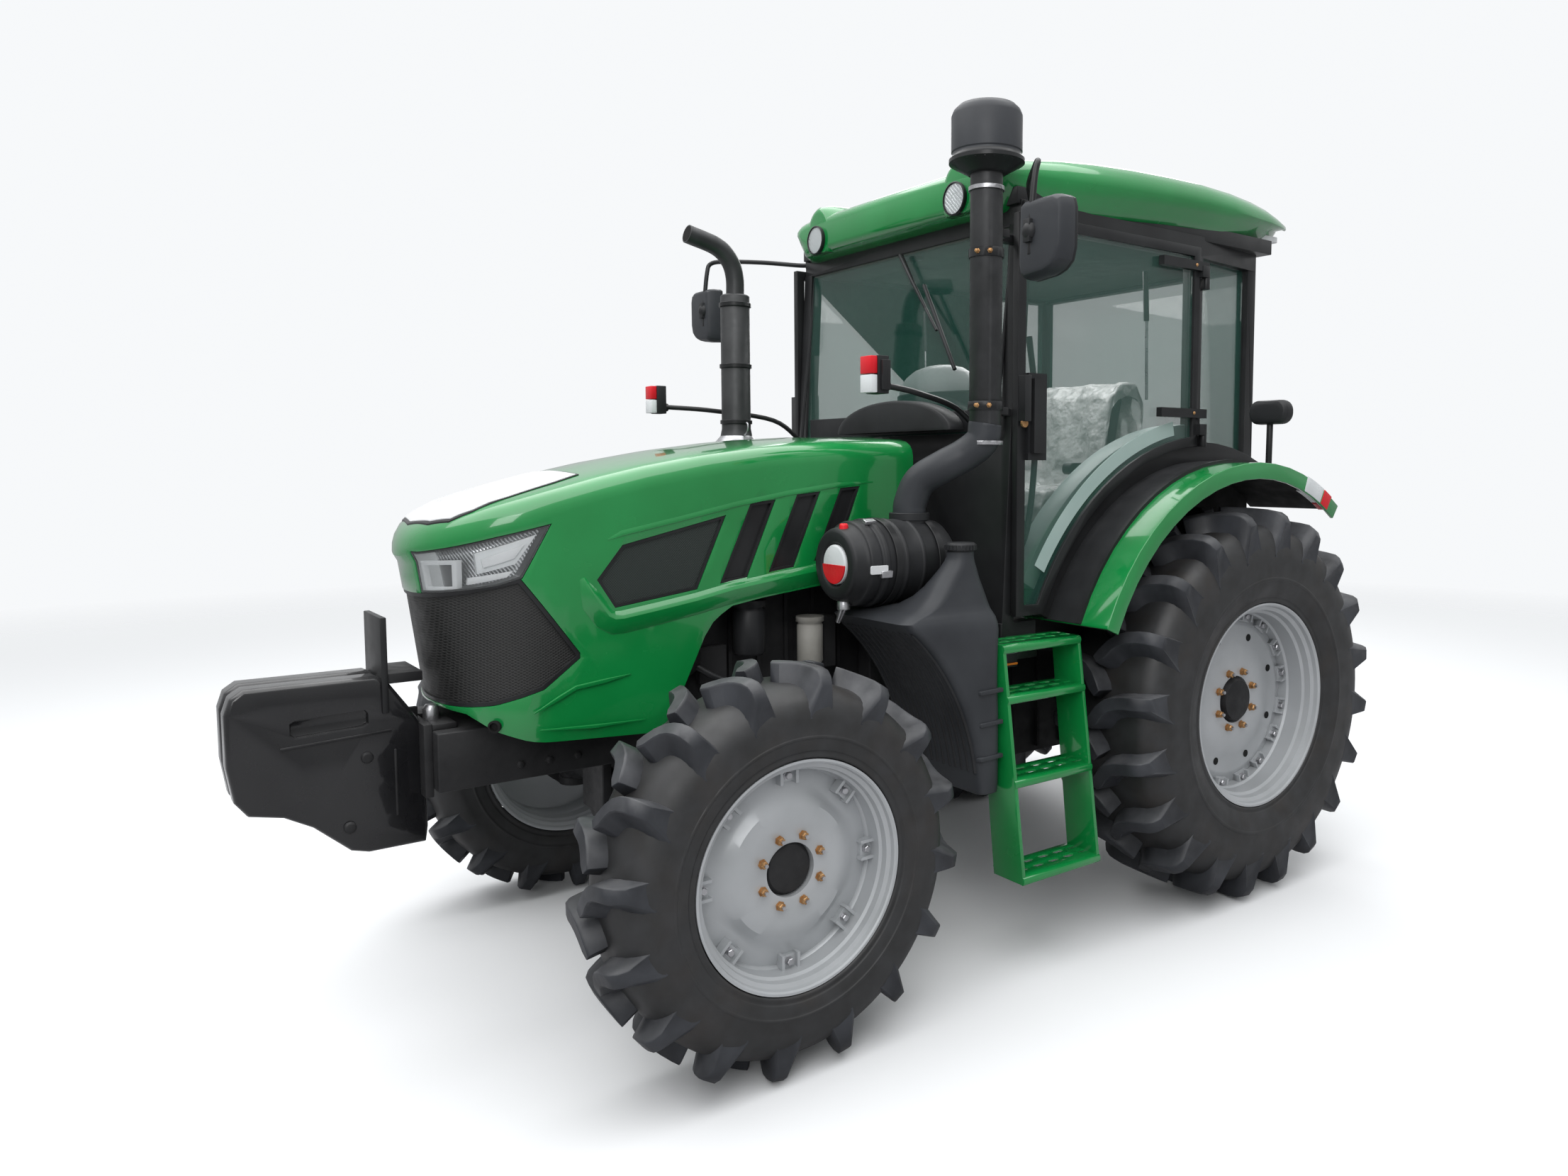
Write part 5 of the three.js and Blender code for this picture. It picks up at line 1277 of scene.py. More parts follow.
# %% Engine and gearbox
block_high = shop("engine_block")[1]
engine = []
for side in (1, -1):
    x = side * block_high[0]
    rib = block(sorted((x, x + side * 10)), (-2290, -2276), (965, 1430), CAST)
    engine += [in_a_row([rib], 8, (0, 112, 0), CAST)]
    cover_bolt = bolt((x, -2262, 1404), "x", 9, side * 9, STEEL)
    engine += [in_a_row([cover_bolt], 7, (0, 112, 0), STEEL)]
    engine += [block(sorted((x, x + side * 26)), (-2300, -1440), (1300, 1322), CAST)]
filter_can = lathe([(0, 1030), (40, 1030), (46, 1038), (46, 1165), (40, 1174), (50, 1178), (50, 1196),
                    (0, 1196)], "z", (290, -1662, 0), BEIGE, 32)
filter_two = lathe([(0, 1085), (50, 1085), (56, 1094), (56, 1235), (48, 1246), (60, 1250), (60, 1272),
                    (0, 1272)], "z", (285, -1905, 0), BLACK, 32)
hose = tube(smooth_path([(270, -2250, 1360), (320, -2120, 1330), (318, -1950, 1300), (285, -1905, 1268)]), 13,
            BLACK, 12)
pump = [lathe([(0, 222), (64, 222), (64, 262), (48, 270), (48, 292), (0, 292)], "x", (0, -2140, 1090), CAST,
              28), block((222, 300), (-1690, -1560), (1010, 1190), CAST),
        block((230, 262), (-2080, -1980), (1000, 1120), CAST),
        tube(smooth_path([(262, -2140, 1090), (320, -2010, 1010), (330, -1800, 985), (300, -1625, 1010)]), 11,
             SATIN, 12)]
casting("engine", ["engine_block"], "root", "chassis_black", CAST,
        [*engine, filter_can, filter_two, hose, *pump], 6)
fan = [block((-9, 9), (-2398, -2376), (60, 268), BLACK).turned("y", 30 * i).moved(z=1180) for i in range(12)]
radiator = [block((-280, 280), (-2500, -2440), (960, 1480), CAST), *fan,
            lathe(plug(62, -2402, -2340), "y", (0, 0, 1180), CAST, 24)]
piece("radiator_and_fan", radiator, "root", "chassis_black", edge=2)

gearbox = []
for side in (1, -1):
    flange = lathe(hoop(96, 150, 540, 566), "x", (0, 0, REAR.axle[2]), CAST, 40)
    flange = flange if side > 0 else flange.mirrored()
    heads = [bolt((side * 566, 132 * math.cos(a), REAR.axle[2] + 132 * math.sin(a)), "x", 10, side * 9, STEEL)
             for a in equal_turns(8)]
    gearbox += [flange, *heads]
    gearbox.append(in_a_row([bolt((side * 200, -1370, 960), "x", 10, side * 9, STEEL)], 12, (0, 130, 0),
                            STEEL))
    gearbox.append(in_a_row([block(sorted((side * 198, side * 210)), (-1200, -1186), (520, 980), CAST)], 9,
                            (0, 150, 0), CAST))
casting("gearbox", ["gearbox_housing"], "root", "chassis_black", CAST, gearbox, 7)

# %% Hitch
for side_name, side in SIDES.items():
    lifting = [tube([(side * 330, 330, 760), (side * 372, 610, 505)], 13, CAST, 14),
               tube([(side * 160, 180, 950), (side * 330, 335, 770)], 24, CAST, 14),
               lathe(plug(26, -12, 12), "x", (side * 345, 335, 762), STEEL, 20)]
    casting(f"lower_arm_{side_name}", [f"lower_link_{side_name}"], "root", "chassis_black", CAST, lifting, 3)
casting("top_arm", ["top_link"], "root", "chassis_black", SATIN, edge=3)
# The thin near-black disc in the eye is painted shade in the pin hole.
casting("trailer_drawbar", ["drawbar"], "root", "chassis_black", CAST,
        [lathe(hoop(17, 34, 489, 494), "z", (0, 700, 0), STEEL, 32),
         lathe(plug(17, 489.2, 490.4), "z", (0, 700, 0), SHADOW_BLACK, 24)], 4)

# %% [markdown]
# ## Ballast weights
#
# Suitcase weights hang side by side on the front carrier. Each is a thick
# casting whose rim is rounded all the way round, so it is lofted from its
# outline: the outer rings are the same outline drawn a little smaller. The
# hand hole is cut afterwards.

# %% Two weights and their carrier
WEIGHT_SIDE = [(-3040, 1112), (-3372, 1112), (-3404, 1090), (-3419, 1045), (-3419, 900), (-3404, 800),
               (-3372, 756), (-3286, 736), (-3214, 694), (-3118, 606), (-3070, 592), (-2912, 592),
               (-2905, 640), (-2905, 925), (-2925, 975), (-3006, 1094)]
rings = []
for x, inset in ((11, 14), (14, 6), (22, 1), (30, 0), (78, 0), (86, 1), (94, 6), (97, 13)):
    rings.append([(x, *point) for point in shrunk(WEIGHT_SIDE, inset)])
weight = lofted(rings, WEIGHT)
for side_name, side in SIDES.items():
    thing = object_of(f"suitcase_weight_{side_name}", mesh_of("weight", on_side(side, [weight])))
    slot_hole = [(-3262, 1002), (-3250, 1010), (-3070, 1016), (-3062, 1006), (-3062, 976), (-3078, 968),
                 (-3250, 960), (-3262, 970)]
    bored(thing, on_side(side, [carried(slot_hole, "x", 70, 130, CAST)]))
    pin = [(0, 90), (17, 90), (17, 104), (13, 108), (0, 108)]
    details = [carried([(-3290, 930), (-3000, 944), (-3000, 952), (-3290, 938)], "x", 90, 102, CAST),
               lathe(pin, "x", (0, -3069, 877), CAST, 20), lathe(pin, "x", (0, -3121, 679), CAST, 20),
               carried([(-2996, 690), (-2988, 690), (-2988, 890), (-2996, 890)], "x", 90, 100, CAST)]
    joined(thing, on_side(side, details))
    rounded_edges(thing, 4, 2, 35)
    place(thing, "root", "chassis_black", [f"ballast_weight_{side_name}"], 35)

carrier = [block((-9, 9), (-3020, -2905), (700, 990), CAST),
           block((-150, 150), (-2925, -2900), (740, 960), CAST),
           block((-100, 100), (-3020, -2910), (1086, 1116), CAST),
           block((-106, 106), (-3024, -3006), (1000, 1283), SATIN),
           lathe([(0, 955), (24, 955), (24, 990), (16, 1004), (0, 1004)], "z", (60, -2880, 0), STEEL, 20),
           block((34, 150), (-2900, -2830), (940, 958), CAST),
           block((-150, -34), (-2900, -2830), (940, 958), CAST)]
piece("weight_bracket", carrier, "root", "chassis_black", ["weight_carrier"], edge=3)

# %% [markdown]
# ## Fuel tanks
#
# A blow-moulded tank has no sharp edge. It is lofted from level slices: the
# front follows the wheel's arc, the top draws in like a bottle to the filler
# neck. Each slice is a rectangle with round corners, and its four sides are
# chosen from the height alone.

# %% The bottle
TANK_CLEAR = 800


def tank_front(z):
    return AXLE_Y + math.sqrt(TANK_CLEAR ** 2 - (z - AXLE_Z) ** 2)


slices = [(620, 436, 846, tank_front(620) + 14, -1274, 30), (626, 424, 857, tank_front(626) + 4, -1264, 34)]
for z in (660, 700, 760, 820, 880, 940, 1000, 1050, 1100, 1140, 1180):
    bulge = 0 if z < 900 else -6 * math.sin((z - 900) / 280 * math.pi)
    slices.append((z, 420, 860 + min(0, bulge), tank_front(z), -1262, 36))
slices += [(1205, 421, 856, tank_front(1205), -1263, 38), (1224, 424, 850, tank_front(1222) + 4, -1265, 42),
           (1240, 440, 842, -1640, -1270, 46), (1250, 560, 838, -1606, -1273, 50),
           (1268, 640, 834, -1566, -1277, 54), (1295, 676, 830, -1530, -1285, 56),
           (1325, 694, 826, -1500, -1296, 56), (1355, 706, 822, -1474, -1308, 54),
           (1385, 716, 820, -1446, -1320, 48), (1408, 722, 818, -1430, -1328, 47),
           (1424, 725, 817, -1423, -1331, 45.5), (1440, 726, 817, -1422, -1331, 45)]
tank = lofted([
    [(x, y, z) for x, y in
     rounded(x0, x1, y0, y1, min(r, (x1 - x0) / 2 - 0.4, (y1 - y0) / 2 - 0.4), 6)]
    for z, x0, x1, y0, y1, r in slices], GREY)
cap = lathe([(0, 1436), (44, 1436), (44, 1444), (52, 1446), (52, 1464), (46, 1470), (0, 1470)], "z",
            (772, -1376, 0), BLACK, 40)
knurls = [block((817, 826), (-1381, -1371), (1447, 1463), BLACK).turned("z", 15 * i, (772, -1376, 0))
          for i in range(24)]
ribs = []
for x in np.arange(452, 838, 32):
    arc = [(z, tank_front(z)) for z in np.linspace(700, 1190, 12)]
    ribs.append(lofted([
        [(x - 7, y + 3, z), (x - 3, y - 5, z), (x + 3, y - 5, z), (x + 7, y + 3, z)]
        for z, y in arc], BLACK))
grooves = [
    lofted([[(x, y0, z - 14), (x, y0, z), (x, -1264, z + 2), (x, -1264, z - 12)]
            for x, y0 in ((850, -1372), (866, -1362))], GREY)
    for z in (980, 872, 756)]
pair("bottle_tank", [tank, cap, *knurls, *ribs], replaced=["fuel_tank_{side}"], angle=45)
pair("tank_steps", grooves, edge=2)
hoses = [tube(smooth_path([(640, -1268, 700), (600, -1180, 690), (440, -1050, 720), (260, -950, 760)]), 22,
              BLACK, 14), block((560, 700), (-1245, -1160), (760, 1010), BLACK),
         block((470, 560), (-1250, -1120), (880, 1010), CAST)]
pair("battery_box_and_hose", hoses, edge=4)

# %% [markdown]
# ## Air cleaner and intake stack
#
# Air is drawn in high above the dust, spun clean in the pre-cleaner, led down
# a pipe and through an elbow into the filter can. Can and pre-cleaner are
# turned shapes with the ribs that stiffen them. The elbow is a round section
# swept along a smooth path.

# %% The can
can_low, can_high = shop("air_cleaner")
CAN = (can_low + can_high) / 2
f, b, R = can_low[1], can_high[1], (can_high[0] - can_low[0]) / 2
profile = [(0, f + 12), (70, f + 12), (74, f + 4), (80, f), (108, f), (118, f + 6), (122, f + 16),
           (126, f + 40), (134, f + 52), (140, f + 54), (143, f + 62), (143, f + 92), (139, f + 98),
           (142, f + 104), (149, f + 108), (149.5, f + 122), (144, f + 126), (144, f + 190), (148, f + 194),
           (148, f + 202), (144, f + 206), (144, f + 262), (148, f + 266), (148, f + 274), (144, f + 278),
           (143, b - 70), (136, b - 30), (118, b - 8), (96, b), (0, b)]
CAN_AXIS = (CAN[0], 0, CAN[2])
can = lathe(profile, "y", CAN_AXIS, BLACK, 72)
window = [lathe([(0, f - 1), (60, f - 1), (66, f + 3), (66, f + 13), (0, f + 13)], "y", CAN_AXIS, WHITE, 48)]
red_half = [(64 * math.cos(a), 64 * math.sin(a)) for a in np.linspace(math.pi, math.tau, 25)]
window.append(carried([(CAN[0] + u, CAN[2] + v) for u, v in red_half], "y", f - 3, f + 2, RED))
clips = [block((-12, 12), (f + 84, f + 128), (142, 156), STEEL).turned("y", turn).moved(*CAN_AXIS)
         for turn in (20, 100, 215, 310)]
knob = lathe([(0, 0), (15, 0), (15, 26), (11, 32), (0, 32)], "z", (CAN[0] + 20, f + 26, CAN[2] + 104), RED,
             20)
valve = [lathe([(0, 0), (17, 0), (22, -10), (22, -34), (0, -34)], "z", (CAN[0] + 6, f + 34, CAN[2] - 116),
               STEEL, 20),
         tube([(CAN[0] + 6, f + 34, CAN[2] - 140), (CAN[0] - 22, f + 30, CAN[2] - 196)], [15, 8], STEEL, 14)]
plate = carried(rounded(f + 42, f + 112, -14, 14, 5), "x", 0, 5, PALE).moved(x=R - 4.5)
plate = plate.turned("y", 2).moved(CAN[0], 0, CAN[2] - 6)
straps = [lathe(hoop(145, 151, y, y + 26), "y", CAN_AXIS, SATIN, 72) for y in (f + 150, f + 330)]
foot = block((CAN[0] - 60, CAN[0] + 60), (f + 330, f + 356), (1236, 1262), CAST)
collar = lathe(hoop(58, 70, 0, 26), "z", (CAN[0], b - 120, CAN[2] + 138), BLACK, 40)
boss = tube([(CAN[0], b - 120, CAN[2] + 90), (CAN[0], b - 120, CAN[2] + 160)], 66, BLACK, 36)
piece("air_cleaner_can", [can, *clips, *straps, foot, collar, boss], replaced=["air_cleaner"], edge=1.5,
      segments=1, angle=42)
piece("air_cleaner_marks", [*window, knob, *valve, plate], edge=1, segments=1)

# %% The stack
pre_low, pre_high = shop("pre_cleaner")
STACK = (pre_low + pre_high) / 2
STACK_AXIS = (STACK[0], STACK[1], 0)
elbow = smooth_path([(CAN[0], b - 120, CAN[2] + 158), (CAN[0] + 4, b - 118, 1600),
                     (CAN[0] + 30, b - 96, 1672), (CAN[0] + 90, b - 44, 1722),
                     (STACK[0] - 52, STACK[1] - 46, 1762), (STACK[0] - 8, STACK[1] - 8, 1810),
                     (STACK[0], STACK[1], 1868)], 7)
pipes = [tube(elbow, 57, GREY, 36),
         tube([(STACK[0], STACK[1], 1850), (STACK[0], STACK[1], 2700)], 55, EXHAUST, 40)]
bands = []
for z in (1796, 2640):
    bands.append(lathe(hoop(54, 61, z, z + 13), "z", STACK_AXIS, STEEL, 40))
for z in (1912, 2420):
    bands.append(lathe(hoop(54, 60, z, z + 30), "z", STACK_AXIS, SATIN, 40))
    for turn in (-30, -70):
        a = math.radians(turn)
        bands.append(bolt(ORIGIN, "y", 7, -14, COPPER).turned("z", turn + 90).moved(
            STACK[0] + 59 * math.cos(a), STACK[1] + 59 * math.sin(a), z + 15))
bands.append(lathe(hoop(56, 63, 1540, 1560), "z", (CAN[0], b - 120, 0), STEEL, 40))
piece("intake_pipe", [*pipes, *bands], replaced=["intake_stack"], edge=1, segments=1, angle=45)
R, low, high = (pre_high[0] - pre_low[0]) / 2, pre_low[2], pre_high[2]
profile = [(0, low), (66, low), (72, low + 4), (112, low + 26), (120, low + 30), (R, low + 34), (R, low + 46),
           (122, low + 50), (116, low + 60), (116, low + 66), (119, low + 70), (119, high - 44),
           (112, high - 26), (96, high - 10), (70, high - 2), (24, high), (0, high)]
bowl = lathe(profile, "z", STACK_AXIS, GREY, 64)
bowl.materials = [SATIN if bowl.points[face].mean(0)[2] < low + 62 else GREY for face in bowl.faces]
vanes = round_the_axle([block((low + 30, low + 44), (-3, 3), (96, 122), SATIN)], 24, SATIN)
vanes = Solid(vanes.points[:, [2, 1, 0]] + STACK_AXIS, [face[::-1] for face in vanes.faces], SATIN)
piece("pre_cleaner_bowl", [bowl, vanes], replaced=["pre_cleaner"], angle=35)

# %% [markdown]
# ## Exhaust
#
# The muffler stands beside the hood's right wall. It is turned in one line,
# with a bright flare where the tail pipe starts, and a bent tip that keeps the
# rain out. Heat makes its black paint dull.

# %% Exhaust
EX = np.array((-522, -1495))
body = lathe([(0, 1242), (88, 1242), (104, 1252), (112, 1272), (112, 1300), (109, 1304), (109, 1780),
              (112, 1784), (112, 1800), (104, 1816), (84, 1830), (66, 1850), (60, 1880), (60, 2424),
              (52, 2430), (0, 2430)], "z", (*EX, 0), EXHAUST, 56)
body.materials = [STEEL if 1802 < body.points[face].mean(0)[2] < 1860 else EXHAUST for face in body.faces]
tip_path = smooth_path([(*EX, 2400), (EX[0], EX[1], 2500), (EX[0], EX[1] - 24, 2568),
                        (EX[0], EX[1] - 84, 2618), (EX[0], EX[1] - 214, 2652)], 6)
# The near-black tube just inside the tip's mouth is painted shade in the pipe.
tip = [tube(tip_path, 37, EXHAUST, 28),
       tube([tip_path[-2], np.array(tip_path[-1]) + (0, -0.6, 0.1)], 32, SHADOW_BLACK, 28)]
guard = [lathe(hoop(61, 66, z, z + 16), "z", (*EX, 0), SATIN, 40) for z in (1900, 2130, 2380)]
springs = [tube(smooth_path([(EX[0] + s * 60, EX[1], 1850), (EX[0] + s * 92, EX[1], 1868),
                             (EX[0] + s * 96, EX[1], 1895), (EX[0] + s * 84, EX[1], 1904)]), 4, STEEL, 8)
           for s in (-1, 1)]
feed = [tube([(EX[0] + 20, EX[1], 1275), (-224, EX[1], 1275)], 34, EXHAUST, 24)]
piece("exhaust", [body, *tip, *guard, *springs, *feed], "root", "exhaust_steel", ["exhaust_stack"], edge=1,
      segments=1, angle=40)

# %% [markdown]
# ## Steps
#
# The steps are bent from plate: two leaning stringers and four treads with a
# rounded front lip. The treads are punched, so that mud falls through and the
# boot holds. Each tread is bored by two rows of oblong holes from the row tree
# and then joined to the ladder.

# %% Stringers and treads
steps_low, steps_high = shop("steps_left")
TREADS = (1105, 935, 655, 335)


def stringer_x(z):
    share = (steps_high[2] - z) / (steps_high[2] - steps_low[2])
    return 705 + 95 * share, 850 + 110 * share


stringers = []
for y0, y1 in ((-1250, -1236), (-886, -872)):
    outline = [(stringer_x(z)[0] + 10, z) for z in (1119, 1000, 800, 600, 322)] + [
        (stringer_x(z)[1] - 6, z) for z in (322, 600, 800, 1000, 1119)]
    stringers.append(carried(outline, "y", y0, y1, GREEN))
hole = carried([(0, -1222), (10, -1212), (10, -1182), (0, -1172), (-10, -1182), (-10, -1212)], "z", -40, 40,
               GREEN)
for side_name, side in SIDES.items():
    ladder = [block((698, 735), (-1100, -970), (1090, 1119), GREEN), *stringers]
    ladder += [bolt((stringer_x(z)[0] + 60, -872, z), "y", 7, 8, COPPER) for z in (1105, 935, 655)]
    thing = object_of(f"step_ladder_{side_name}", mesh_of("ladder", on_side(side, ladder)))
    for z in TREADS:
        x0, x1 = stringer_x(z)
        lip = [(x0 + 6, z + 10), (x0 + 6, z + 15.5), (x1 - 12, z + 15.5), (x1 - 3, z + 10), (x1, z),
               (x1 - 3, z - 12), (x1 - 10, z - 15.5), (x1 - 16, z - 12), (x1 - 12, z), (x1 - 16, z + 9)]
        tread = object_of("tread", mesh_of("tread", on_side(side, [carried(lip, "y", -1249, -873, GREEN)])))
        for u in (0.3, 0.62):
            bored(tread,
                  on_side(side, [in_a_row([hole.moved(x=x0 + (x1 - x0) * u, z=z)], 5, (0, 74, 0), GREEN)]))
        joined(thing, [solid_of(tread, GREEN).moved(y=-1000 * REAR_AXLE_Y)])
    rounded_edges(thing, 1.6, 2, 40)
    place(thing, "root", "green_paint", [f"steps_{side_name}"], 40)
print("pieces so far:", len(made))

# %% [markdown]
# ## Fenders
#
# A fender is one band of sheet round the wheel, with its outer edge turned
# down. The copy of the CAD band is painted green, its outer lip is drawn in,
# and every face that looks at the wheel is painted near black as shade. A
# black cover and a satin strip lie on top, and marks sit at the rear corner.

# %% Fenders and their trim
fender_low, fender_high = shop("fender_left")
FENDER_R, FENDER_IN, FENDER_OUT = fender_high[2] - REAR.axle[2] - 20, fender_low[0], fender_high[0]


def arc_ring(radius, low, high, turn):
    a = math.radians(turn)
    y, z = radius * math.cos(a), REAR.axle[2] + radius * math.sin(a)
    return [(low, y, z), (high, y, z)]


def arc_band(inner, outer, x0, x1, start, stop, material, steps=40):
    """A band round the rear axle. The turn is 0 at the rear and 90 at the top."""
    rings = []
    for turn in np.linspace(start, stop, steps + 1):
        rings.append(arc_ring(inner, x0, x1, turn) + arc_ring(outer, x0, x1, turn)[::-1])
    return lofted(rings, material)


FRONT_TURN = 180 - math.degrees(math.asin((1150 - REAR.axle[2]) / FENDER_R))
FENDER_SLIM = 78


def slimmer(thing):
    """Draws the outer lip inwards, and paints every face that looks at the wheel near black, as painted
    shade.
    """
    for vertex in thing.data.vertices:
        if abs(vertex.co.x) > (FENDER_OUT - 40) / 1000:
            vertex.co.x -= math.copysign(FENDER_SLIM / 1000, vertex.co.x)
    # Faces under the fender get the near-black finish: painted shade.
    slot = len(thing.data.materials)
    thing.data.materials.append(SHADOW_BLACK)
    for face in thing.data.polygons:
        if math.hypot(face.center.y - REAR_AXLE_Y, face.center.z - REAR.axle[2] / 1000) < (
            FENDER_R + 2) / 1000:
            if abs(face.center.x) < (FENDER_OUT - FENDER_SLIM - 10) / 1000:
                face.material_index = slot


fender_details = [
    arc_band(FENDER_R + 19, FENDER_R + 26, FENDER_IN + 120, 856, 66, FRONT_TURN - 0.2, BLACK),
    arc_band(FENDER_R + 18, FENDER_R + 32, 844, 858, 58, FRONT_TURN - 0.2, SATIN)]
edge_at = FENDER_OUT - FENDER_SLIM
marker = [arc_band(FENDER_R - 42, FENDER_R + 22, edge_at - 40, edge_at + 1, 62, 70, WHITE, 6),
          arc_band(FENDER_R - 42, FENDER_R + 22, edge_at - 40, edge_at + 1, 58, 61.6, RED, 4)]
casting_pair("fender_skin", "fender_{side}", "root", "green_paint", GREEN, fender_details, 5, 3, slimmer)
pair("fender_marks", marker, "root", "lamp_lens", edge=1)

# %% [markdown]
# ## Cab frame and its inside
#
# The cab frame is welded from box sections, and a rubber seal runs up each
# front pillar. Inside are a dark floor mat, a pale cover over each wheel arch,
# and a soft grey headliner. The frame itself is the CAD frame with rounded edges.

# %% The frame and its lining
seals = []
for side in (1, -1):
    pillar = [(x * side, y, z) for x, y, z in ((640, -1098, 1850), (640, -1022, 2568))]
    seals.append(tube(pillar, 7, BLACK, 8))
casting("cab_structure", ["cab_frame"], "root", "cab_black", SATIN, seals, 6, 3)
inside = [block((-636, 636), (-1010, 405), (2586, 2640), LINING),
          block((-540, 540), (-1060, 400), (1101, 1108), BLACK),
          block((-632, 632), (-1030, -840), (2560, 2590), LINING),
          block((-560, 560), (380, 408), (1110, 1760), LINING)]
piece("headliner_and_mat", inside, "root", "cab_black", edge=8, segments=3)
arch_cover = [arc_band(1046, 1118, 566, 664, 88, 152, MINT, 30),
              arc_band(961, 1046, 556, 600, 70, 152, LINING, 30)]
pair("arch_cover", arch_cover, "root", "cab_black", edge=4)

# %% [markdown]
# ## Glass and doors
#
# The panes are the CAD panes with the glass finish. A door is a thin black
# frame round one pane; its lower rear edge follows the fender. Handle, lock,
# hinges and a gas strut are added to the frame, so they swing with it.

# %% Panes
for node in ("windshield", "rear_window",
             *(f"{part}_{side}" for part in ("door_glass", "quarter_glass") for side in SIDES)):
    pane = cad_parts[node]
    pane.data.materials.clear()
    pane.data.materials.append(GLASS)

# %% Doors
PANE = shop("door_glass_left")[1][0]
print("door pane ends at x", round(PANE, 1), "frame at", round(shop("door_frame_left")[1][0], 1))
door_details = [block((724, 744), (-1040, -950), (1745, 2050), BLACK),
                block((742, 764), (-1030, -975), (1770, 2030), SATIN),
                # A pale mint band on the pane's lower edge is a painted reflection of the sky in the door
                # glass.
                arc_band(1087, 1142, PANE + 0.6, PANE + 2.4, 101, 149, MINT),
                lathe(plug(15, 742, 750), "x", (0, -1061, 1874), COPPER, 20),
                block((690, 704), (-1060, -1010), (1760, 1900), BLACK),
                tube([(688, -360, 2480), (688, -350, 2290)], 11, SATIN, 14),
                tube([(688, -350, 2300), (688, -342, 1985)], 6, STEEL, 12)]
for z in (1915, 2500):
    door_details += [block((722, 748), (-322, -38), (z + 4, z + 40), SATIN),
                     bolt((748, -120, z + 23), "x", 6, 4, COPPER)]
casting_pair("door", "door_frame_{side}", "door_{side}", "cab_black", SATIN, door_details, 4)

# %% [markdown]
# ## Roof
#
# The roof is a moulded shell: level slices will not do, because its edge rolls
# over on every side. It is lofted along its length instead. Each station gives
# a half width and three heights, and one rule turns those into a section. Two
# pods on the front corners hold the work lamps.

# %% Shell
STATIONS = [(-1130, 596, 2662, 2732, 2752), (-1124, 626, 2646, 2740, 2772), (-1104, 652, 2634, 2744, 2790),
            (-1060, 686, 2624, 2744, 2806), (-980, 712, 2619, 2745, 2820), (-850, 738, 2621, 2747, 2838),
            (-680, 752, 2634, 2752, 2855), (-480, 759, 2650, 2760, 2868), (-260, 760, 2666, 2768, 2876),
            (-60, 760, 2676, 2772, 2880), (130, 751, 2684, 2774, 2876), (300, 734, 2692, 2774, 2866),
            (430, 714, 2706, 2776, 2852), (530, 688, 2722, 2778, 2836), (610, 660, 2740, 2782, 2822),
            (660, 636, 2760, 2788, 2812), (690, 610, 2776, 2790, 2804)]


def roof_section(wide, low, edge, top):
    rise = top - edge
    half = [(wide - 110, low), (wide - 76, low + 2), (wide - 62, low + 10), (wide - 50, low + 30),
            (wide - 24, (low + edge) / 2 + 10), (wide - 3, edge - 8), (wide - 5, edge + rise * 0.2),
            (wide - 16, edge + rise * 0.46), (wide - 36, edge + rise * 0.68), (wide - 70, edge + rise * 0.82),
            (wide - 130, edge + rise * 0.91), (wide - 280, edge + rise * 0.97), (0.01, top)]
    return half + [(-x, z) for x, z in half[-2::-1]] + [(-(wide - 300), low + 2), (0, low + 2),
                                                        (wide - 300, low + 2)]


roof = lofted([[(x, y, z) for x, z in roof_section(w, low, edge, top)] for y, w, low, edge, top in STATIONS],
              GREEN)
pods = []
for y, r, lift in ((-1129, 62, 0), (-1127, 74, 2), (-1116, 84, 4), (-1070, 92, 8), (-980, 94, 12),
                   (-880, 86, 16), (-780, 66, 20), (-700, 38, 30)):
    ring = []
    for a in equal_turns(32):
        high = r + (48 if math.sin(a) > 0 else 10)
        ring.append((455 + r * 1.12 * math.cos(a), y, max(2690 + lift + high * math.sin(a), 2632)))
    pods.append(ring)
pod = lofted(pods, GREEN)
thing = object_of("roof_shell", mesh_of("roof_shell", [roof, pod, pod.mirrored()]))
rounded_edges(thing, 3, 2, 50)
place(thing, "root", "green_paint", ["cab_roof"], 45)
trims = [block((-690, 690), (-1050, 470), (2640, 2700), SATIN),
         block((-560, 560), (460, 560), (2700, 2720), LINING),
         *[block(sorted((s * 560, s * 640)), (470, 585), (2712, 2738), PALE) for s in (1, -1)]]
piece("roof_trim", trims, edge=3)

# %% Work lamps, front and rear
lamp_low, lamp_high = shop("work_light_left")
x, z = (lamp_low[0] + lamp_high[0]) / 2, (lamp_low[2] + lamp_high[2]) / 2


def round_lamp(radius, depth):
    """A round lamp whose face looks along -y from the origin."""
    case = lathe([(0, depth), (radius * 0.7, depth), (radius * 0.96, depth * 0.4), (radius, 4), (radius, -3),
                  (radius * 0.93, -5), (radius * 0.9, 0), (radius * 0.9, 6), (0, 6)], "y", ORIGIN, SATIN, 44)
    bowl_ = lathe([(0, 5.5), (radius * 0.3, 5), (radius * 0.34, 2.5), (radius * 0.88, 1.5),
                   (radius * 0.9, 5.8), (0, 5.8)], "y", ORIGIN, REFLECTOR, 44)
    glass_ = lathe([(0, -6), (radius * 0.5, -5), (radius * 0.86, -2), (radius * 0.9, 1), (0, 1)], "y", ORIGIN,
                   LENS, 44)
    return [case, bowl_, glass_]


front_lamps = [part.moved(x, -1141, z) for part in round_lamp(60, 50)]
pair("work_lamp_front", front_lamps, "root", "lamp_lens", ["work_light_{side}"])
rear_lamps = [part.turned("z", 180).moved(560, 470, 2630) for part in round_lamp(46, 44)]
pair("work_lamp_rear", [*rear_lamps, block((552, 568), (418, 440), (2640, 2668), SATIN)], "root", "lamp_lens")

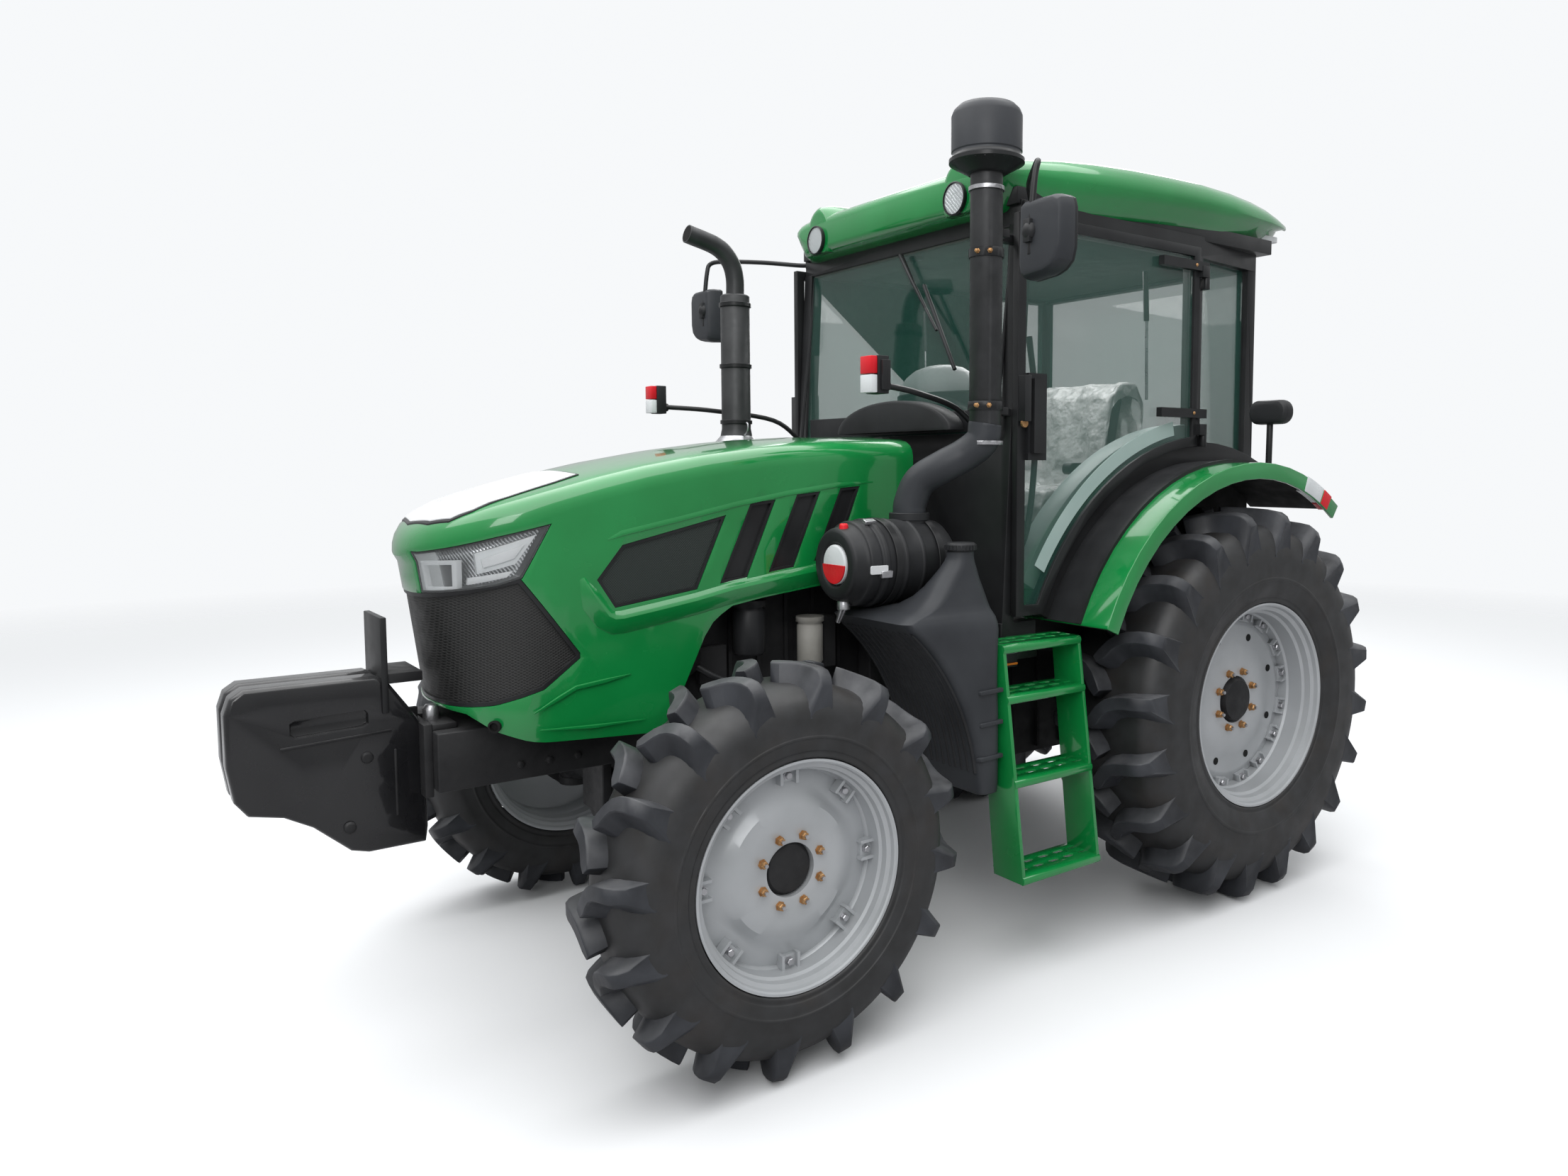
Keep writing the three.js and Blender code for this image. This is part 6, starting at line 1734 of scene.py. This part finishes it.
# %% [markdown]
# ## Mirrors and lamps on arms
#
# Mirrors hang from bent tubes at the front corners of the cab. Their back is a
# moulded shell with a rounded lower edge, with a ball joint on a short upright
# bar. The marker lamps stand on arms beside the hood: white below and red
# above. The rear lamps are ovals on posts that stand on the fenders.

# %% A shell round a place
def shell(outline, centre, steps, material):
    """A skin through one (x, z) outline, drawn at several (y, scale) steps round a centre."""
    x, y, z = centre
    return lofted([[(x + u * k, y + step, z + v * k) for u, v in outline] for step, k in steps], material)


# %% Mirror
M = np.array((1104, -1320, 2418))
outline = [(-86, 112), (-72, 120), (62, 120), (84, 108), (92, 80), (91, -36), (80, -76), (52, -100),
           (18, -112), (-70, -120), (-86, -108), (-92, -80)]
glass_face = shell(outline, M, ((36, 0.93), (39, 0.93)), MIRROR_GLASS)
back = shell(outline, M, ((-39, 0.80), (-36, 0.9), (-24, 0.97), (0, 1), (26, 1), (34, 0.98)), GREY)
edging = shell(outline, M, ((26, 1.004), (38, 1.004), (40, 0.93)), BLACK)
arm = smooth_path([(697, -1010, 2633), (742, -1034, 2634), (860, -1160, 2650), (1000, -1270, 2662),
                   (1060, -1318, 2656), (1066, -1336, 2610), (1066, -1350, 2480), (1066, -1352, 2370)], 6)
joint = [lathe([(0, -26), (20, -22), (27, -8), (27, 8), (20, 22), (0, 26)], "z", (1066, -1352, 2440), BLACK,
               24), block((1052, 1080), (-1372, -1340), (2405, 2475), BLACK),
         block((697, 706), (-1030, -990), (2615, 2651), SATIN)]
mirror = [back, edging, glass_face, tube(arm, 10, SATIN, 14), *joint]
pair("mirror", mirror, replaced=["mirror_{side}"], edge=2, segments=2)

# %% Marker lamps
K = np.array((785, -1736, 2004))
head = [block((-40, 26), (-8, 34), (-58, 58), BLACK), block((-36, 22), (-33, -8), (2, 56), RED),
        block((-36, 22), (-33, -8), (-56, -1), WHITE), block((24, 40), (0, 30), (-48, 44), SATIN)]
head = [part.moved(*K) for part in head]
arm = smooth_path([(600, -1072, 1812), (600, -1130, 1838), (612, -1262, 1925), (700, -1500, 1962),
                   (K[0] - 20, K[1] + 60, K[2] - 30), (K[0] - 6, K[1] + 20, K[2] - 30)], 6)
pair("marker_lamp_head", [*head, tube(arm, 10, SATIN, 14),
                          lathe(plug(17, 0, 26), "y", (K[0] - 6, K[1] + 28, K[2] - 30), BLACK, 20),
                          block((578, 622), (-1075, -1062), (1796, 1832), SATIN)],
     replaced=["marker_lamp_{side}"], edge=3)

# %% Rear lamps
L = np.array((850, 250, 1948))
outline = rounded(-94, 94, -50, 50, 46, 8)
lamp = [shell(outline, L, ((-34, 0.6), (-30, 0.86), (-14, 0.98), (12, 1), (24, 0.98)), BLACK)]
for window, material in (((-76, -30), WHITE), ((-26, 26), AMBER), ((30, 76), RED)):
    lamp.append(block(window, (22, 33), (-33, 33), material).moved(*L))
foot = REAR.axle[2] + math.sqrt((FENDER_R + 20) ** 2 - 250 ** 2)
lamp += [tube([(L[0], L[1] - 4, foot - 3), (L[0], L[1], L[2] - 36)], 13, SATIN, 16),
         lathe([(0, 0), (34, 0), (34, 5), (15, 14), (0, 14)], "z", (L[0], L[1] - 4, foot - 2), GREY, 24)]
pair("rear_lamp_head", lamp, replaced=["rear_lamp_{side}"], edge=3)
side_mark = [block((716, 722), (-1135, -1062), (1060, 1098), WHITE),
             block((716, 722), (-1120, -1060), (1018, 1026), AMBER),
             block((700, 716), (-1140, -1056), (1010, 1104), BLACK)]
pair("side_reflector", side_mark, "root", "lamp_lens", edge=2)

# %% [markdown]
# ## Driver's seat
#
# A seat cushion is foam under cloth: crowned on top, pulled in between its
# corners, and sewn along its edge. Each pad starts as a slightly small block
# with many faces, is blown up by a short cloth simulation, and is smoothed
# once. The result is kept as plain mesh.

# %% A pad
PAD_GRID = 0.012
PRESSURE, BLOWN_FRAMES = 4, 15
SEAM_AT, SEAM_WIDE, SEAM_DEEP = 0.52, 0.035, 0.010


def blown(thing):
    """The pad's points after a short cloth simulation with pressure inside."""
    thing.data = thing.data.copy()
    cloth = thing.modifiers.new("blown", "CLOTH")
    cloth.settings.use_pressure, cloth.settings.uniform_pressure_force = True, PRESSURE
    cloth.settings.effector_weights.gravity = 0
    cloth.settings.quality = 5
    for step in range(1, BLOWN_FRAMES + 1):
        bpy.context.scene.frame_set(step)
    after = points_of(baked(thing))
    bpy.context.scene.frame_set(1)
    return after


def pad(name, x, y, z, lean, cap):
    """A foam pad: a block turned by lean degrees about x, inflated up to a cap in millimetres."""
    thing = object_of(name, mesh_of(name, [block(x, y, z, CLOTH)]))
    rounded_edges(thing, 30, 4)
    grid = thing.modifiers.new("grid", "REMESH")
    grid.mode, grid.voxel_size = "VOXEL", PAD_GRID
    before = points_of(baked(thing))
    move = blown(thing) - before
    far = np.linalg.norm(move, axis=1)
    move *= (np.minimum(far, cap / 1000) / np.maximum(far, 1e-9))[:, None]
    points = before + move
    low, high = np.array((x, y, z)).T
    centre = (low + high) / 2 / 1000 + (0, REAR_AXLE_Y, 0)
    share = (points - centre) / ((high - low) / 2000)
    seam = np.exp(-((np.abs(share[:, 0]) - SEAM_AT) / SEAM_WIDE) ** 2) * (
        np.abs(share[:, 2]) > 0.3) * SEAM_DEEP
    points[:, 2] -= np.sign(share[:, 2]) * seam
    s, k = math.sin(math.radians(lean)), math.cos(math.radians(lean))
    across, along_y, up = (points - centre).T
    set_points(thing, centre + np.stack([across, along_y * k - up * s, along_y * s + up * k], 1))
    thing.data.materials.clear()
    thing.data.materials.append(CLOTH)
    finer = thing.modifiers.new("finer", "SUBSURF")
    finer.levels = finer.render_levels = 1
    return baked(thing)


BACK_LEAN = math.radians(12)
BACK_FOOT_FLAT, BACK_FOOT_UP = (-0.02, 1.533), (-0.055, 1.585)


def stood_up(thing):
    """Turns the backrest, which is blown lying flat, to stand up on its foot and lean back."""
    x, y, z = (points_of(thing) - (0, REAR_AXLE_Y, 0)).T
    y, z = y - BACK_FOOT_FLAT[0], z - BACK_FOOT_FLAT[1]
    s, k = math.sin(BACK_LEAN), math.cos(BACK_LEAN)
    up = np.stack([x, BACK_FOOT_UP[0] + y * s - z * k, BACK_FOOT_UP[1] + y * k + z * s], 1)
    set_points(thing, up + (0, REAR_AXLE_Y, 0))


cushion = pad("seat_cushion", (-232, 232), (-472, -12), (1486, 1586), 2, 14)
backrest = pad("seat_backrest", (-222, 222), (-20, 470), (1488, 1578), 0, 14)
stood_up(backrest)
for thing in (cushion, backrest):
    place(thing, "root", "seat_cloth", ["driver_seat"], 80)

# %% Seat base, rests and film cover
base = [block((-150, 150), (-390, -80), (1108, 1150), CAST),
        block((-120, 120), (-370, -100), (1150, 1400), BLACK),
        block((-210, 210), (-460, -30), (1440, 1484), BLACK)]
base += [block((-140, 140), (-380, -90), (1160 + 40 * i, 1182 + 40 * i), BLACK) for i in range(6)]
base += both(carried(rounded(-360, -40, 1690, 1740, 22), "x", 250, 300, BLACK))
base += both(block((235, 262), (-60, -20), (1560, 1720), CAST))
piece("seat_base", base, "root", "seat_cloth", ["driver_seat"], edge=6, segments=3)


def film_cover():
    """A loose sheet over the seat: a draped shape with folds, taken from waves of several sizes."""
    columns, rows = 44, 78
    path = [(-505, 1500), (-498, 1560), (-470, 1612), (-380, 1628), (-240, 1632), (-150, 1640), (-128, 1690),
            (-112, 1800), (-82, 1950), (-58, 2040), (-20, 2082), (50, 2100), (110, 2090), (146, 2020),
            (140, 1930), (126, 1800)]
    t = np.linspace(0, 1, len(path))
    points = []
    for j in range(rows):
        s = j / (rows - 1)
        y, z = np.interp(s, t, [p[0] for p in path]), np.interp(s, t, [p[1] for p in path])
        for i in range(columns):
            u = i / (columns - 1) * 2 - 1
            x = 262 * np.sign(u) * min(abs(u) * 1.22, 1)
            drop = max(0, abs(u) - 0.82) / 0.18
            fold = (9 * math.sin(9 * u + 17 * s) + 6 * math.sin(23 * u - 31 * s + 2)
                    + 4 * math.sin(47 * s + 11 * u * u) + 3 * math.sin(61 * u + 7 * s))
            outward = 1 if s < 0.42 else 0.3
            points.append((x + fold * 0.4 * (drop > 0), y - fold * (1 - outward),
                           z + fold * outward - 110 * drop * (0.4 + 0.6 * outward)))
    faces = [(a, a + 1, a + columns + 1, a + columns) for j in range(rows - 1) for i in range(columns - 1)
             for a in [j * columns + i]]
    return Solid(points, faces, FILM)


film = object_of("seat_film", mesh_of("seat_film", [film_cover()]))
place(film, "root", "seat_cloth", (), 180)

# %% [markdown]
# ## Console, wheel and wiper
#
# The steering column grows out of a black console with a rounded binnacle.
# The wheel is a ring with three flat spokes and a boss. A pale dome on the
# dashboard covers the instruments, and an arched cowl closes the gap between
# hood and windshield. The wiper hangs from the top of the windshield.

# %% Level ellipses and upright arches
def ellipse(x, y, wide, deep, z):
    return [(x + wide * math.cos(a), y + deep * math.sin(a), z) for a in equal_turns(36)]


def arch(x, z, wide, high, start, steps):
    """A black half ellipse carried through several (y, scale) steps. start opens its two ends."""
    angles = np.linspace(start, math.pi - start, 24)
    return lofted([
        [(x + wide * k * math.cos(a), y, z + high * k * math.sin(a)) for a in angles]
        for y, k in steps], BLACK)


# %% Console and dash
console = lofted([
    [(x, y, z) for x, z in
     ((-w, z0), (w, z0), (w, z1), (w * 0.8, z1 + 16), (-w * 0.8, z1 + 16), (-w, z1))]
    for y, w, z0, z1 in (
        (-1040, 160, 1112, 1860), (-1010, 172, 1108, 1872), (-920, 172, 1108, 1868),
        (-850, 150, 1108, 1830), (-826, 120, 1112, 1700))], BLACK)
dash = lofted([
    [(x, -1076 + 170 * math.sin(a), 1846 + k * math.cos(a) * 40)
     for a, k in ((0.05, 0), (0.05, 2.2), (0.7, 1.9), (1.2, 1.0), (1.5, 0))]
    for x in (-620, -300, 0, 300, 620)], BLACK)
dome = lofted([ellipse(112, -925, 226 * r, 92 * r, z + 22) for r, z in (
    (1.0, 1990), (1.02, 2002), (0.97, 2030), (0.84, 2062), (0.6, 2090), (0.3, 2104), (0.05, 2108))], PALE)
skirt = lofted([ellipse(112, -925, 240, 100, z) for z in (1960, 2016)], SATIN)
hood_arch = arch(112, 1845, 300, 165, 0.05,
                 ((-1035, 0.7), (-1026, 0.96), (-1000, 1.02), (-900, 1.0), (-850, 0.92)))
piece("console", [console, dash, hood_arch, skirt], replaced=["steering_console"], edge=6, segments=3)
piece("dash_dome", [dome], angle=60)
cowl = arch(116, 1856, 366, 122, 0, ((-1180, 0.9), (-1176, 0.98), (-1160, 1.0), (-1112, 1.0), (-1104, 0.98)))
piece("cowl_arch", [cowl], edge=3)

# %% Steering wheel
ring_profile = [(195 + 15 * math.cos(a), 15 * math.sin(a)) for a in np.arange(17) * math.tau / 16]
ring_profile[-1] = ring_profile[0]
wheel = [lathe(ring_profile, "z", ORIGIN, BLACK, 64),
         lathe([(0, -16), (44, -16), (52, -6), (50, 6), (40, 12), (0, 14)], "z", ORIGIN, SATIN, 36)]
for turn in (90, 210, 330):
    spoke = lofted([
        [(r, -w, z - 4), (r, w, z - 4), (r, w, z + 4), (r, -w, z + 4)]
        for r, w, z in ((36, 22, -4), (110, 14, -4), (186, 17, 0))], SATIN)
    wheel.append(spoke.turned("z", turn))
wheel += [tube([(0, 0, -10), (0, 0, -320)], [30, 26], BLACK, 24),
          tube([(0, 0, -60), (140, 20, -40)], [9, 7], BLACK, 12)]
piece("steering_ring", [part.turned("x", 28).moved(0, -720, 1850) for part in wheel],
      replaced=["steering_wheel"], edge=1.5, angle=45)

# %% Wiper
wiper = [block((8, 70), (-1010, -970), (2545, 2580), SATIN),
         tube([(33, -1058, 2560), (120, -1064, 2440), (215, -1078, 2330)], [11, 8, 6], SATIN, 12),
         tube([(215, -1078, 2330), (300, -1092, 2235)], 6, SATIN, 10),
         tube([(196, -1070, 2420), (420, -1104, 2080)], 8, BLACK, 10)]
piece("wiper", wiper, edge=2)

# %% Levers and monitor rail
levers = []
for i, x in enumerate((330, 380, 430, 480)):
    levers += [tube([(x, -250 + 30 * i, 1180), (x, -300 + 40 * i, 1420 + 20 * i)], 7, SATIN, 10),
               lathe([(0, 0), (16, 4), (20, 20), (16, 40), (0, 46)], "z", (x, -300 + 40 * i, 1420 + 20 * i),
                     BLACK if i % 2 else RED, 16)]
levers += [block((300, 520), (-340, -40), (1108, 1320), BLACK),
           tube(smooth_path([(540, -960, 1300), (600, -900, 1500), (600, -860, 1900), (600, -900, 2200)]), 12,
                BLACK, 12)]
piece("levers", levers, edge=4)

# %% [markdown]
# ## Pieces and faces
#
# The script ends by printing how many pieces and faces it made.

# %% Pieces and faces
print(len(made), "pieces,", sum(made.values()), "faces")
